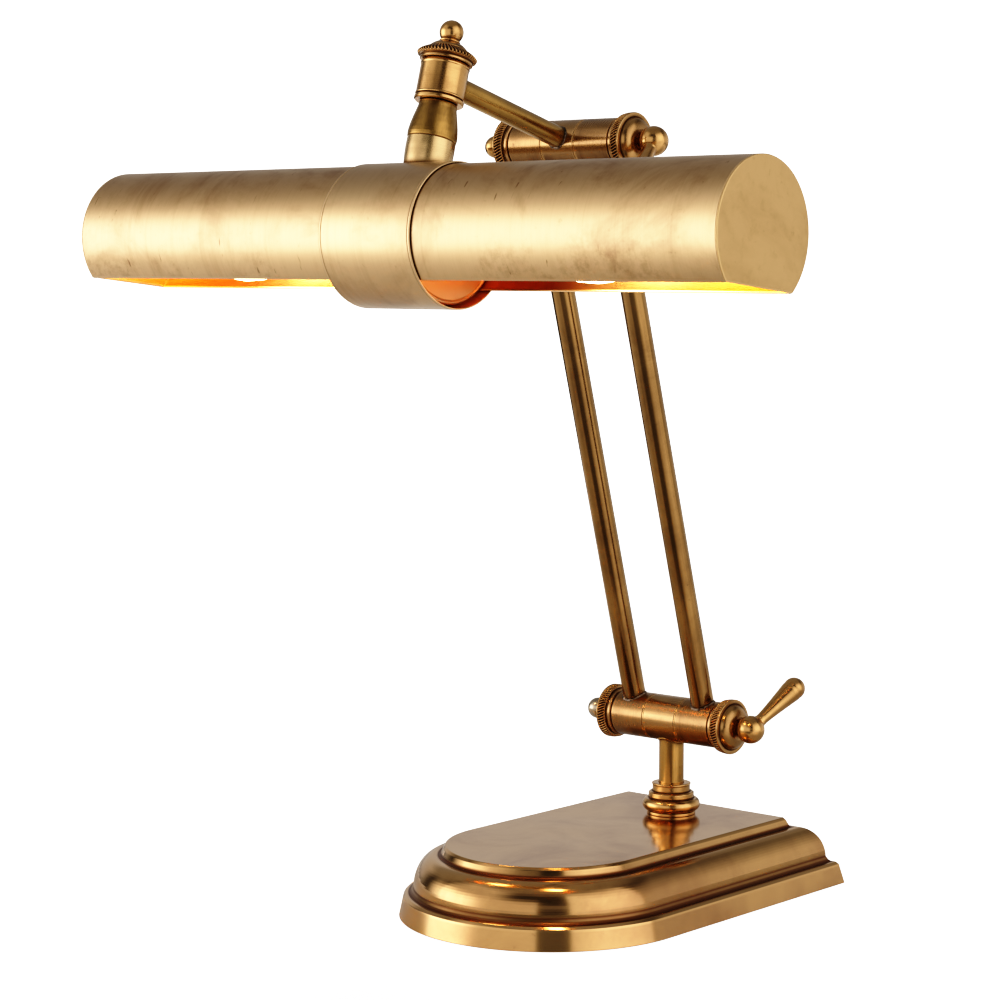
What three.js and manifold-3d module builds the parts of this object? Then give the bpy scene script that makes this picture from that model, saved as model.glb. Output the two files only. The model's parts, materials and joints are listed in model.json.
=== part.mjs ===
// Banker desk lamp in antique brass, in millimetres, +Z up.
//
// A D-shaped weighted base carries a short stem. On the stem stands a clamped hinge, two
// parallel arms, a second hinge, a boom and a swivelling neck. The neck holds a centre band
// with a lampholder on each side, and two half-open tubular shades turn in the band's ends.
//
// The origin is the centre of the base's footprint, on the underside of the felt. Both hinge
// axes and the shades run along X, and the rounded end of the base points to -Y.

import * as THREE from 'three';
import { mergeVertices } from 'three/addons/utils/BufferGeometryUtils.js';
import Module from 'manifold-3d';

const wasm = await Module();
wasm.setup();

// ---------------------------------------------------------------- driving dimensions

// Clearance between pieces that touch, and a running clearance for turning ones.
const gap = 0.3;
const degree = Math.PI / 180;

// Facets around a turned piece: on the large head, on ordinary pieces, and on small ones.
const headFacets = 40;
const facets = 20;
const smallFacets = 14;

// Base.
const baseLength = 207.4;
const baseWidth = 137.0;
const baseHeight = 32.9;
const mouldingReach = 21.2;
const shellWall = 1.5;
const shellRimHeight = 0.8;
const feltThickness = 1.6;
const feltInset = 2.6;
const weightReach = 11.5;
const weightTop = 16.0;

// Stem, its collar and its fixings under the top plate.
const stemY = 55.8;
const stemRadius = 6.0;
const stemBore = 4.0;
const stemFoot = 8.0;
const nutPocketTop = 13.4;
const nutPocketRadius = 12.5;
const cableSlotWidth = 9.0;
const cableSlotTop = 9.0;
const glandHeight = 6.0;

// Hinges: the stack of pieces along the hinge axis, as distances from its middle.
const lowerHingeHeight = 78.8;
const barrelRadius = 10.9;
const barrelBore = 6.2;
const centreBarrelEnd = 9.1;
const washerStart = 9.2;
const washerEnd = 9.8;
const washerRadius = 10.7;
const sideBarrelStart = 9.9;
const sideBarrelFlange = 28.4;
const sideBarrelEnd = 31.0;
const capStart = 31.2;
const knurlEnd = 36.3;
const knurlRadius = 13.0;
const screwRadius = 2.9;
const leadHoleRadius = 3.4;
const screwBallCentre = 46.3;
const screwBallRadius = 6.8;
const nutBallCentre = 45.3;
const nutBallRadius = 5.1;

// Levers: tapered rods that end in a rounded club.
const leverLength = 30.0;
const leverRootRadius = 2.9;
const leverClubStart = 24.0;
const leverClubRadius = 4.8;
const leverTipRadius = 5.3;
const lowerLeverDirection = new THREE.Vector3(0.29, 0.757, 0.585);
const upperLeverDirection = new THREE.Vector3(0.25, -0.75, -0.6);

// Arms and boom.
const armLength = 281.3;
const armLean = 15.7 * degree;
const armOffset = 20.5;
const armRadius = 5.48;
const armBore = 4.3;
const boomLength = 89.0;
const boomRise = 15.5 * degree;
const boomRadius = 4.8;
const boomBore = 3.7;

// Neck: heights along the neck's axis, above and below the boom's axis.
const neckRadius = 10.4;
const neckTop = 7.4;
const neckFlangeTop = -8.2;
const neckBottom = -10.0;
const neckCavityRadius = 7.6;
const neckCavityFloor = -5.8;
const neckCapRim = 11.0;
const neckCapTop = 16.7;
const finialStudEnd = 3.6;
const finialBallCentre = 21.2;
const finialBallRadius = 5.5;
const coneTop = -10.3;
const coneSeam = -26.3;
const shadeDrop = 68.0;
const nippleRadius = 4.5;
const nippleBore = 3.0;

// Head: a band with two cup-shaped bulkheads, and the two shades that turn in it.
const bandRadius = 30.8;
const bandHalfWidth = 25.9;
const bandWall = 0.6;
const bulkheadFace = 21.7;
const bulkheadDepth = 9.7;
const bulkheadRadius = 28.7;
const sheetWall = 0.8;
const shadeRadius = 29.8;
const shadeStart = 13.0;
const shadeEnd = 180.0;
const mouthDrop = 20.6;
const shadeRestTurn = 9.1 * degree;

// Lampholders and candle bulbs, on an axis a little below the shade's axis.
const lampDrop = 2.0;
const holderStart = 22.0;
const holderEnd = 66.0;
const holderRadius = 13.5;
const holderCup = 7.2;
const holderStubRadius = 4.8;
const holderStubEnd = 6.0;
const bracketWidth = 16.0;
const bracketLeg = 9.5;
const bracketTop = 28.5;
const bracketWall = 1.4;
const bulbCapRadius = 6.7;
const bulbRadius = 17.5;
const bulbBellyAt = 101.0;
const bulbTipAt = 142.5;

// ---------------------------------------------------------------- finishes

const finishes = {
  satinBrass: { color: 0xc9a566, roughness: 0.42, metalness: 1.0 },
  agedBrass: { color: 0xa9783f, roughness: 0.3, metalness: 1.0 },
  bronzedTube: { color: 0x7d5f36, roughness: 0.3, metalness: 1.0 },
  polishedBrass: { color: 0xc1924f, roughness: 0.22, metalness: 1.0 },
  castIron: { color: 0x3a3a3c, roughness: 0.8, metalness: 0.6 },
  felt: { color: 0x23382a, roughness: 1.0, metalness: 0.0 },
  steel: { color: 0xa8a9ab, roughness: 0.4, metalness: 1.0 },
  blackPlastic: { color: 0x1c1a18, roughness: 0.55, metalness: 0.0 },
  holderPlastic: { color: 0xe6ded0, roughness: 0.5, metalness: 0.0 },
  bulbGlass: { color: 0xfff1d6, roughness: 0.25, metalness: 0.0 },
  leadSleeve: { color: 0xb9a98a, roughness: 0.8, metalness: 0.0 },
};

// ---------------------------------------------------------------- helpers

const lamp = new THREE.Group();

// Adds a named piece to a group and returns its mesh.
function addPiece(parent, name, geometry, finish) {
  const mesh = new THREE.Mesh(geometry, new THREE.MeshStandardMaterial(finishes[finish]));
  mesh.name = name;
  parent.add(mesh);
  return mesh;
}

// A body turned on a lathe about the X or Z axis. The profile lists [place along the axis,
// radius], outer surface first in the axis's direction, then back along any bore.
function turned(axis, profile, segments = facets) {
  const points = profile.map(([along, radius]) => new THREE.Vector2(radius, along));
  const geometry = new THREE.LatheGeometry(points, segments);
  return axis === 'x' ? geometry.rotateZ(-Math.PI / 2) : geometry.rotateX(Math.PI / 2);
}

// A turned body whose profile closes on itself, so that it has a hole right through.
function turnedRing(axis, profile, segments = facets) {
  return turned(axis, [...profile, profile[0]], segments);
}

// A plain tube along the X or Z axis.
function tube(axis, outer, inner, start, end, segments = facets) {
  return turnedRing(axis, [[start, outer], [end, outer], [end, inner], [start, inner]], segments);
}

// A plain solid rod along the X or Z axis.
function rod(axis, radius, start, end, segments = facets) {
  return turned(axis, [[start, 0], [start, radius], [end, radius], [end, 0]], segments);
}

// Points on an arc of a profile, from one angle to another: [centre along the axis, centre
// radius], [reach along the axis, reach across it]. Angle 0 points across the axis.
function profileArc([along, across], [reachAlong, reachAcross], from, to, steps) {
  const points = [];
  for (let i = 0; i <= steps; i++) {
    const angle = (from + (to - from) * i / steps) * degree;
    points.push([along + reachAlong * Math.sin(angle), across + reachAcross * Math.cos(angle)]);
  }
  return points;
}

// The profile of a ball on the axis, from where its radius is radiusAtNeck to its far pole.
function ballProfile(centre, radius, radiusAtNeck, steps = 5) {
  const entry = -90 + Math.asin(radiusAtNeck / radius) / degree;
  const arc = profileArc([centre, 0], [radius, radius], entry, 90, steps);
  arc[steps] = [centre + radius, 0];
  return arc;
}

function toSolid(geometry) {
  const bare = new THREE.BufferGeometry();
  bare.setAttribute('position', geometry.getAttribute('position'));
  bare.setIndex(geometry.getIndex());
  const merged = mergeVertices(bare, 1e-4);
  const corners = Array.from(merged.getIndex().array);
  const faces = [];
  for (let i = 0; i < corners.length; i += 3) {
    const [a, b, c] = corners.slice(i, i + 3);
    if (a !== b && b !== c && c !== a) faces.push(a, b, c);
  }
  return new wasm.Manifold(new wasm.Mesh({
    numProp: 3,
    vertProperties: new Float32Array(merged.getAttribute('position').array),
    triVerts: new Uint32Array(faces),
  }));
}

function toGeometry(solid) {
  const mesh = solid.getMesh();
  const geometry = new THREE.BufferGeometry();
  geometry.setAttribute('position', new THREE.BufferAttribute(mesh.vertProperties, 3));
  geometry.setIndex(new THREE.BufferAttribute(mesh.triVerts, 1));
  return geometry;
}

// The first shape with all the other shapes cut away from it.
function cut(geometry, ...cutters) {
  const solid = cutters.reduce((rest, cutter) => rest.subtract(toSolid(cutter)), toSolid(geometry));
  return toGeometry(solid);
}

// A box given by its lowest and highest corners.
function block(low, high) {
  const size = high.map((value, i) => value - low[i]);
  const centre = high.map((value, i) => (value + low[i]) / 2);
  return new THREE.BoxGeometry(...size).translate(...centre);
}

// A round lead that follows a smooth curve through the given points.
function lead(points, radius, steps) {
  const section = new THREE.Shape().absarc(0, 0, radius, 0, 2 * Math.PI);
  const path = new THREE.CatmullRomCurve3(points.map((point) => new THREE.Vector3(...point)));
  return new THREE.ExtrudeGeometry(section, { extrudePath: path, steps, curveSegments: 4 });
}

// ---------------------------------------------------------------- base

const topHalfWidth = baseWidth / 2 - mouldingReach;
const topRear = baseLength / 2 - mouldingReach;
const frontCentreY = (baseWidth - baseLength) / 2;
const frontSegments = 24;

// The D-shaped outline of the base, moved outward from the edge of its top plate.
function baseOutline(outward) {
  const half = topHalfWidth + outward;
  const rear = topRear + outward;
  const points = [[half, rear], [-half, rear]];
  for (let i = 0; i <= frontSegments; i++) {
    const angle = Math.PI * (1 + i / frontSegments);
    points.push([half * Math.cos(angle), frontCentreY + half * Math.sin(angle)]);
  }
  return points;
}

// A solid between flat ends, from [outward, height] levels listed from the lowest up.
function mouldedSolid(levels) {
  const rings = levels.map(([outward, height]) =>
    baseOutline(outward).map(([x, y]) => new THREE.Vector3(x, y, height)));
  const count = rings[0].length;
  const top = (rings.length - 1) * count;
  const faces = [];
  for (let low = 0; low < top; low += count) {
    for (let i = 0; i < count; i++) {
      const next = (i + 1) % count;
      faces.push(low + i, low + next, low + count + next);
      faces.push(low + i, low + count + next, low + count + i);
    }
  }
  for (let i = 1; i < count - 1; i++) {
    faces.push(0, i + 1, i);
    faces.push(top, top + i, top + i + 1);
  }
  return new THREE.BufferGeometry().setFromPoints(rings.flat()).setIndex(faces);
}

// The moulding from the foot up: plinth, cove, quarter-round and the top plate's own edge.
function mouldingLevels() {
  const quarterRound = profileArc([13.1, 4.6], [15.1, 10.1], 0, 90, 4);
  return [
    [mouldingReach, shellRimHeight],
    [mouldingReach - 2.0, 10.0],
    [mouldingReach - 2.7, 10.7],
    [15.8, 11.7],
    ...quarterRound.map(([height, outward]) => [outward, height]),
    [2.6, 28.7],
    [0.8, 31.9],
    [0.0, baseHeight],
  ];
}

function addBase() {
  const stemHole = rod('z', stemRadius + gap, 0, baseHeight + 1).translate(0, stemY, 0);
  const rearFace = topRear + mouldingReach;
  const glandHole = rod('z', 3.2, -6, 6, smallFacets)
    .rotateX(Math.PI / 2)
    .translate(0, rearFace - 2, glandHeight);

  const cavity = mouldedSolid([
    [mouldingReach - shellWall, shellRimHeight - 1],
    [mouldingReach - 2.2 - shellWall, 9.6],
    [13.3, 12.6],
    [10.0, 21.5],
    [5.5, 25.5],
    [0.2, 27.3],
    [-1.0, baseHeight - shellWall],
  ]);
  addPiece(lamp, 'base_shell', cut(mouldedSolid(mouldingLevels()), cavity, stemHole, glandHole),
    'agedBrass');

  const weightBottom = feltThickness + gap;
  const slot = block([-cableSlotWidth / 2, stemY, 0],
    [cableSlotWidth / 2, rearFace, cableSlotTop]);
  const nutPocket = rod('z', nutPocketRadius, 0, nutPocketTop).translate(0, stemY, 0);
  const weight = mouldedSolid([[weightReach, weightBottom], [weightReach, weightTop]]);
  addPiece(lamp, 'base_weight', cut(weight, slot, nutPocket, stemHole), 'castIron');

  const feltReach = mouldingReach - feltInset;
  addPiece(lamp, 'base_felt', mouldedSolid([[feltReach, 0], [feltReach, feltThickness]]), 'felt');

  // The cable gland: a bush through the rear wall with a flange outside, open for a cable.
  const gland = turnedRing('z', [
    [-4.0, 2.9], [1.6, 2.9], [1.6, 4.6], [2.6, 4.2], [2.6, 2.4], [-4.0, 2.4],
  ], smallFacets);
  gland.rotateX(-Math.PI / 2).translate(0, rearFace - 1.2, glandHeight);
  addPiece(lamp, 'cable_gland', gland, 'blackPlastic');
}

// ---------------------------------------------------------------- stem

// A hexagonal nut with a round hole, on the Z axis.
function hexNut(cornerRadius, holeRadius, bottom, top) {
  return cut(rod('z', cornerRadius, bottom, top, 6), rod('z', holeRadius, bottom - 1, top + 1));
}

function addStem() {
  const stem = new THREE.Group();
  stem.position.set(0, stemY, 0);
  lamp.add(stem);

  const collarFoot = baseHeight + 0.1;
  const bead = profileArc([4.9, 10.6], [3.2, 3.2], -70, 70, 4);
  addPiece(stem, 'stem_collar', turnedRing('z', [
    [0, 11.9], [1.6, 11.9], ...bead, [8.3, 10.6], [11.0, 10.6], [11.6, 9.1], [14.4, 9.1],
    [15.0, 8.4], [15.0, stemRadius + gap], [0, stemRadius + gap],
  ].map(([height, radius]) => [collarFoot + height, radius])), 'polishedBrass');

  const barrelSeat = rod('x', barrelRadius + gap, -barrelRadius, barrelRadius)
    .translate(0, 0, lowerHingeHeight);
  addPiece(stem, 'stem_tube',
    cut(tube('z', stemRadius, stemBore, stemFoot, lowerHingeHeight), barrelSeat), 'polishedBrass');

  addPiece(stem, 'stem_washer', tube('z', 11.0, stemRadius + gap, 11.9, 13.1), 'steel');
  addPiece(stem, 'stem_nut', hexNut(11.0, stemRadius + gap, stemFoot + gap, 11.6), 'steel');
}

// ---------------------------------------------------------------- hinges

// The knurled nut that ends in a small ball, on the screw's threaded end.
function knurledNut() {
  const holeRadius = screwRadius + gap;
  const holeEnd = 40.4;
  const cone = profileArc([42.2, 9.8], [5.2, 6.8], -90, -180, 3);
  return turned('x', [
    [holeEnd, 0], [holeEnd, holeRadius], [capStart, holeRadius], [capStart, knurlRadius],
    [knurlEnd, knurlRadius], [knurlEnd + 0.4, 10.4], ...cone.slice(1, -1),
    ...ballProfile(nutBallCentre, nutBallRadius, 3.4),
  ]);
}

// The knurled cap with a domed face, which the screw's neck comes out of.
function knurledCap() {
  const holeRadius = screwRadius + gap;
  const dome = profileArc([knurlEnd + 0.5, 4.6], [3.5, 6.0], 0, 90, 3);
  return turnedRing('x', [
    [capStart, knurlRadius], [knurlEnd, knurlRadius], ...dome,
    [knurlEnd + 4.0, holeRadius], [capStart, holeRadius],
  ]);
}

// The clamping screw, with the ball that the lever is fixed in.
function pivotScrew() {
  const threadEnd = -39.8;
  return turned('x', [
    [threadEnd, 0], [threadEnd, screwRadius],
    ...ballProfile(screwBallCentre, screwBallRadius, screwRadius),
  ], smallFacets);
}

// A lever along +Z from its ball's surface, round at the tip.
function lever() {
  const root = screwBallRadius + gap;
  const tip = profileArc([leverLength, 0], [leverTipRadius, leverTipRadius], 0, 90, 3);
  tip[3] = [leverLength + leverTipRadius, 0];
  return turned('z', [
    [root, 0], [root, leverRootRadius], [leverClubStart, leverClubRadius], ...tip,
  ], smallFacets);
}

// A side barrel, with a seat flange next to the knurled piece.
function sideBarrel() {
  return turnedRing('x', [
    [sideBarrelStart, barrelRadius], [sideBarrelFlange, barrelRadius],
    [sideBarrelFlange + 0.4, 10.2], [sideBarrelFlange + 0.8, 10.2],
    [sideBarrelFlange + 1.2, 11.2], [sideBarrelEnd, 11.2],
    [sideBarrelEnd, barrelBore], [sideBarrelStart, barrelBore],
  ]);
}

// A radial hole for the leads, from a barrel's bore outward along a direction.
function leadHole(x, direction) {
  const hole = rod('z', leadHoleRadius, 4, barrelRadius + 2, smallFacets);
  const turn = new THREE.Quaternion().setFromUnitVectors(new THREE.Vector3(0, 0, 1), direction);
  return hole.applyQuaternion(turn).translate(x, 0, 0);
}

// One complete hinge about the X axis of its group. The leads enter the centre barrel along
// centreDirection and leave the right barrel along sideDirection.
function addHinge(parent, prefix, centreDirection, sideDirection, leverDirection) {
  addPiece(parent, `${prefix}_centre_barrel`,
    cut(tube('x', barrelRadius, barrelBore, -centreBarrelEnd, centreBarrelEnd),
      leadHole(0, centreDirection)), 'agedBrass');
  addPiece(parent, `${prefix}_right_barrel`,
    cut(sideBarrel(), leadHole(armOffset, sideDirection)), 'agedBrass');
  addPiece(parent, `${prefix}_left_barrel`, sideBarrel(), 'agedBrass').rotation.z = Math.PI;

  for (const [side, start, end] of [['left', -washerEnd, -washerStart],
    ['right', washerStart, washerEnd]]) {
    addPiece(parent, `${prefix}_${side}_washer`, tube('x', washerRadius, barrelBore, start, end),
      'agedBrass');
  }

  addPiece(parent, `${prefix}_knurled_nut`, knurledNut(), 'agedBrass').rotation.z = Math.PI;
  addPiece(parent, `${prefix}_knurled_cap`, knurledCap(), 'agedBrass');
  addPiece(parent, `${prefix}_pivot_screw`, pivotScrew(), 'polishedBrass');

  const leverPiece = addPiece(parent, `${prefix}_lever`, lever(), 'polishedBrass');
  leverPiece.position.x = screwBallCentre;
  leverPiece.quaternion.setFromUnitVectors(new THREE.Vector3(0, 0, 1),
    leverDirection.clone().normalize());
}

// ---------------------------------------------------------------- arms

const lowerHinge = new THREE.Group();
const upperHinge = new THREE.Group();
const armDirection = new THREE.Vector3(0, -Math.sin(armLean), Math.cos(armLean));
const boomDirection = new THREE.Vector3(0, -Math.cos(boomRise), Math.sin(boomRise));

function addArms() {
  const arms = new THREE.Group();
  arms.rotation.x = armLean;
  lowerHinge.add(arms);

  const lowerSeat = rod('x', barrelRadius + gap, -armRadius - 1, armRadius + 1);
  const upperSeat = lowerSeat.clone().translate(0, 0, armLength);
  for (const [side, x] of [['left', -armOffset], ['right', armOffset]]) {
    const arm = cut(tube('z', armRadius, armBore, 0, armLength), lowerSeat, upperSeat);
    addPiece(arms, `${side}_arm`, arm, 'bronzedTube').position.x = x;
  }

  const armLead = rod('z', 1.8, barrelRadius + 1, armLength - barrelRadius - 1, 8);
  addPiece(arms, 'arm_lead', armLead, 'leadSleeve').position.x = armOffset;
}

// ---------------------------------------------------------------- boom and neck

// The boom group's -Y axis runs along the boom, and its +Z axis is parallel to the neck.
function addBoom(boom) {
  const hingeSeat = rod('x', barrelRadius + gap, -boomRadius - 1, boomRadius + 1);
  const neckSeat = rod('z', neckRadius + gap, -boomRadius - 1, boomRadius + 1)
    .translate(0, -boomLength, 0);
  const along = tube('z', boomRadius, boomBore, 0, boomLength).rotateX(Math.PI / 2);
  addPiece(boom, 'boom_tube', cut(along, hingeSeat, neckSeat), 'bronzedTube');

  const boomLead = rod('z', 1.8, barrelRadius + 1, boomLength - neckCavityRadius, 8);
  addPiece(boom, 'boom_lead', boomLead.rotateX(Math.PI / 2), 'leadSleeve');
}

function addNeck(neck) {
  const boomHole = rod('z', leadHoleRadius, 0, neckRadius + 1, smallFacets)
    .rotateX(-Math.PI / 2);
  const body = turnedRing('z', [
    [neckBottom, 10.7], [neckFlangeTop, 10.7], [neckFlangeTop, 9.8],
    [neckFlangeTop + 0.8, 9.8], [neckFlangeTop + 0.8, neckRadius], [neckTop, neckRadius],
    [neckTop, neckCavityRadius], [neckCavityFloor, neckCavityRadius],
    [neckCavityFloor, nippleRadius + gap], [neckBottom, nippleRadius + gap],
  ]);
  addPiece(neck, 'neck_body', cut(body, boomHole), 'polishedBrass');

  // The screwed cap: a spigot in the body's mouth, a ring, a knurled slope and a low dome.
  const rimStart = neckTop + 2.2;
  const studHole = 2.4;
  const spigotRadius = neckCavityRadius - gap;
  addPiece(neck, 'neck_cap', turnedRing('z', [
    [neckTop - 2.4, spigotRadius], [neckTop + gap, spigotRadius], [neckTop + gap, 11.1],
    [rimStart - gap, 11.1], [rimStart - gap, 10.6], [rimStart, knurlRadius],
    [neckCapRim, knurlRadius], [neckCapRim + 2.8, 8.0], [neckCapTop - 1.1, 6.6],
    [neckCapTop, 5.0], [neckCapTop, studHole], [neckTop - 2.4, studHole],
  ]), 'agedBrass');

  addPiece(neck, 'neck_finial', turned('z', [
    [finialStudEnd, 0], [finialStudEnd, studHole - gap], [neckCapTop + gap, studHole - gap],
    [neckCapTop + gap, 3.2], ...ballProfile(finialBallCentre, finialBallRadius, 3.2),
  ], smallFacets), 'polishedBrass');
}

// The swivelling part of the neck: cone, collar and the hollow nipple that holds them.
function addSwivel(head) {
  const nippleHole = nippleRadius + gap;
  addPiece(head, 'swivel_cone', turnedRing('z', [
    [coneSeam, 10.5], [-24.0, 10.7], [-20.0, 10.3], [-12.4, 8.3], [coneTop, 8.1],
    [coneTop, nippleHole], [coneSeam, nippleHole],
  ]), 'polishedBrass');

  const bandSeat = rod('x', bandRadius + gap, -12, 12, headFacets).translate(0, 0, -shadeDrop);
  const collar = tube('z', 10.5, nippleHole, 5 - shadeDrop + bandRadius * 0.8, coneSeam - gap);
  addPiece(head, 'neck_collar', cut(collar, bandSeat), 'satinBrass');

  const nippleTop = neckCavityFloor + 5.0;
  const nippleBottom = bandRadius - 8.0 - shadeDrop;
  const nipple = tube('z', nippleRadius, nippleBore, nippleBottom, nippleTop, smallFacets);
  addPiece(head, 'swivel_nipple', nipple, 'steel');

  const lockNut = [neckCavityFloor + gap, neckCavityFloor + 3.6];
  addPiece(head, 'swivel_lock_nut', hexNut(6.9, nippleHole, ...lockNut), 'steel');
  const bandNutTop = bracketTop - bracketWall - gap - shadeDrop;
  addPiece(head, 'band_nut', hexNut(8.0, nippleHole, bandNutTop - 3.4, bandNutTop), 'steel');
}

// ---------------------------------------------------------------- head

// The D-shaped section of a shade: a circle cut off by its flat mouth.
const mouthAngle = Math.asin(mouthDrop / shadeRadius);

function addArc(path, radius, clockwise) {
  const right = -mouthAngle;
  const left = Math.PI + mouthAngle;
  return path.absarc(0, 0, radius, clockwise ? left : right, clockwise ? right : left, clockwise);
}

// Extrudes a section drawn in the Y-Z plane along X, from start to end.
function alongX(section, start, end) {
  const geometry = new THREE.ExtrudeGeometry(section,
    { depth: end - start, bevelEnabled: false, curveSegments: 26 });
  const basis = new THREE.Matrix4().makeBasis(new THREE.Vector3(0, 1, 0),
    new THREE.Vector3(0, 0, 1), new THREE.Vector3(1, 0, 0));
  return geometry.applyMatrix4(basis).translate(start, 0, 0);
}

function addShade(head, side) {
  const turn = new THREE.Group();
  turn.rotation.x = shadeRestTurn;
  turn.rotation.z = side === 'left' ? Math.PI : 0;
  turn.rotation.order = 'XZY';
  head.add(turn);

  const wrap = new THREE.Shape();
  addArc(wrap, shadeRadius, false);
  addArc(wrap, shadeRadius - sheetWall, true);
  addPiece(turn, `${side}_shade`, alongX(wrap, shadeStart, shadeEnd - sheetWall - gap),
    'satinBrass');

  const disc = addArc(new THREE.Shape(), shadeRadius, false);
  addPiece(turn, `${side}_end_cap`, alongX(disc, shadeEnd - sheetWall, shadeEnd), 'satinBrass');
}

// The centre band, and the bent strap inside it that joins both lampholders to the neck.
function addBand(head) {
  const nippleHole = rod('z', nippleRadius + gap, 10, bandRadius + 2, smallFacets);
  addPiece(head, 'centre_band',
    cut(tube('x', bandRadius, bandRadius - bandWall, -bandHalfWidth, bandHalfWidth, headFacets),
      nippleHole), 'satinBrass');

  const legEnd = bracketLeg + bracketWall;
  const legBottom = -lampDrop - 10;
  const outside = block([-legEnd, -bracketWidth / 2, legBottom],
    [legEnd, bracketWidth / 2, bracketTop]);
  const inside = block([-bracketLeg, -bracketWidth, legBottom - 1],
    [bracketLeg, bracketWidth, bracketTop - bracketWall]);
  const holderHoles = rod('x', holderStubRadius + gap, -legEnd - 1, legEnd + 1, smallFacets)
    .translate(0, 0, -lampDrop);
  addPiece(head, 'holder_bracket', cut(outside, inside, holderHoles, nippleHole), 'steel');
}

function addLamp(head, side) {
  const group = new THREE.Group();
  group.rotation.z = side === 'left' ? Math.PI : 0;
  head.add(group);

  // A cup pressed from sheet, its flat face outward and its flange running inward.
  const cupInner = bulkheadRadius - sheetWall;
  const cupBack = bulkheadFace - bulkheadDepth;
  const cup = turnedRing('x', [
    [cupBack, bulkheadRadius], [bulkheadFace - 0.6, bulkheadRadius],
    [bulkheadFace, bulkheadRadius - 0.6], [bulkheadFace, 1], [bulkheadFace - sheetWall, 1],
    [bulkheadFace - sheetWall, cupInner], [cupBack, cupInner],
  ], headFacets);
  const stubHole = rod('x', holderStubRadius + gap, cupBack, holderStart, smallFacets)
    .translate(0, 0, -lampDrop);
  addPiece(group, `${side}_bulkhead`, cut(cup, stubHole), 'satinBrass');

  const onAxis = new THREE.Group();
  onAxis.position.z = -lampDrop;
  group.add(onAxis);

  const cupFloor = 41.0;
  addPiece(onAxis, `${side}_lampholder`, turned('x', [
    [holderStubEnd, 0], [holderStubEnd, holderStubRadius], [holderStart, holderStubRadius],
    [holderStart, holderRadius - 1.5], [holderStart + 1.5, holderRadius],
    [holderEnd - 1, holderRadius], [holderEnd, holderRadius - 1], [holderEnd, holderCup],
    [cupFloor, holderCup], [cupFloor, 0],
  ]), 'holderPlastic');

  const nuts = { holder_nut: bracketLeg - gap, bulkhead_nut: bulkheadFace - sheetWall - gap };
  for (const [name, end] of Object.entries(nuts)) {
    addPiece(onAxis, `${side}_${name}`,
      tube('x', 8.0, holderStubRadius + gap, end - 2.6, end, smallFacets), 'steel');
  }
  addPiece(onAxis, `${side}_bulb`, bulb(cupFloor + gap), 'bulbGlass');
}

// A candle bulb: its screw cap, then the glass from a narrow neck to a belly and a long tip.
function bulb(capStartAt) {
  const glassStart = holderEnd + 0.5;
  const glass = new THREE.SplineCurve([
    [glassStart, bulbCapRadius + 0.6], [glassStart + 10, 12.6], [bulbBellyAt - 9, bulbRadius - 0.7],
    [bulbBellyAt + 2, bulbRadius], [bulbBellyAt + 16, 14.2], [bulbTipAt - 10, 6.2],
    [bulbTipAt - 2, 1.6],
  ].map((point) => new THREE.Vector2(...point))).getPoints(8);
  return turned('x', [
    [capStartAt, 0], [capStartAt, 3.0], [capStartAt + 3, bulbCapRadius],
    [holderEnd, bulbCapRadius], ...glass.map((point) => point.toArray()), [bulbTipAt, 0],
  ]);
}

// ---------------------------------------------------------------- leads inside the lamp

function addLeads(head) {
  const slotHeight = 5.0;
  addPiece(lamp, 'base_lead', lead([
    [0, baseLength / 2 - 8, slotHeight], [0, stemY + 26, slotHeight], [0, stemY + 9, slotHeight],
    [0, stemY + 2.5, slotHeight + 1.2], [0, stemY, slotHeight + 8],
    [0, stemY, slotHeight + 20], [0, stemY, lowerHingeHeight - barrelRadius - 2],
  ], 1.8, 16), 'leadSleeve');

  // Each holder's lead comes down the nipple and bends towards the holder's stub.
  for (const [side, sign] of [['left', -1], ['right', 1]]) {
    addPiece(head, `${side}_holder_lead`, lead([
      [1.4 * sign, 0, shadeDrop - 4], [1.4 * sign, 0, 40], [1.4 * sign, 0, 20],
      [1.5 * sign, 0, 7], [2.0 * sign, 0, 1.5], [3.3 * sign, 0, -1.8],
      [(holderStubEnd - 2 * gap) * sign, 0, -lampDrop],
    ], 1.1, 14), 'leadSleeve');
  }
}

// ---------------------------------------------------------------- assembly

addBase();
addStem();

lowerHinge.position.set(0, stemY, lowerHingeHeight);
lamp.add(lowerHinge);
addHinge(lowerHinge, 'lower', new THREE.Vector3(0, 0, -1), armDirection, lowerLeverDirection);
addArms();

upperHinge.position.copy(lowerHinge.position).addScaledVector(armDirection, armLength);
lamp.add(upperHinge);
addHinge(upperHinge, 'upper', boomDirection, armDirection.clone().negate(), upperLeverDirection);

const boomGroup = new THREE.Group();
boomGroup.rotation.x = -boomRise;
upperHinge.add(boomGroup);
addBoom(boomGroup);

const neckGroup = new THREE.Group();
neckGroup.position.y = -boomLength;
boomGroup.add(neckGroup);
addNeck(neckGroup);
addSwivel(neckGroup);

const headGroup = new THREE.Group();
headGroup.position.z = -shadeDrop;
neckGroup.add(headGroup);
addBand(headGroup);
for (const side of ['left', 'right']) {
  addLamp(headGroup, side);
  addShade(headGroup, side);
}
addLeads(headGroup);

export default lamp;
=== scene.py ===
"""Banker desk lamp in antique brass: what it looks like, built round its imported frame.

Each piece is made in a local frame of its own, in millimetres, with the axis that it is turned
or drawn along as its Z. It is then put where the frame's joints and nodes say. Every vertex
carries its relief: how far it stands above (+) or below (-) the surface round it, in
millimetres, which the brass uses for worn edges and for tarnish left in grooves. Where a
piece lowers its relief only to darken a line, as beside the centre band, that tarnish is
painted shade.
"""

import json
import math

import bmesh
import bpy
import numpy as np
from mathutils import Matrix, Vector


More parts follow.
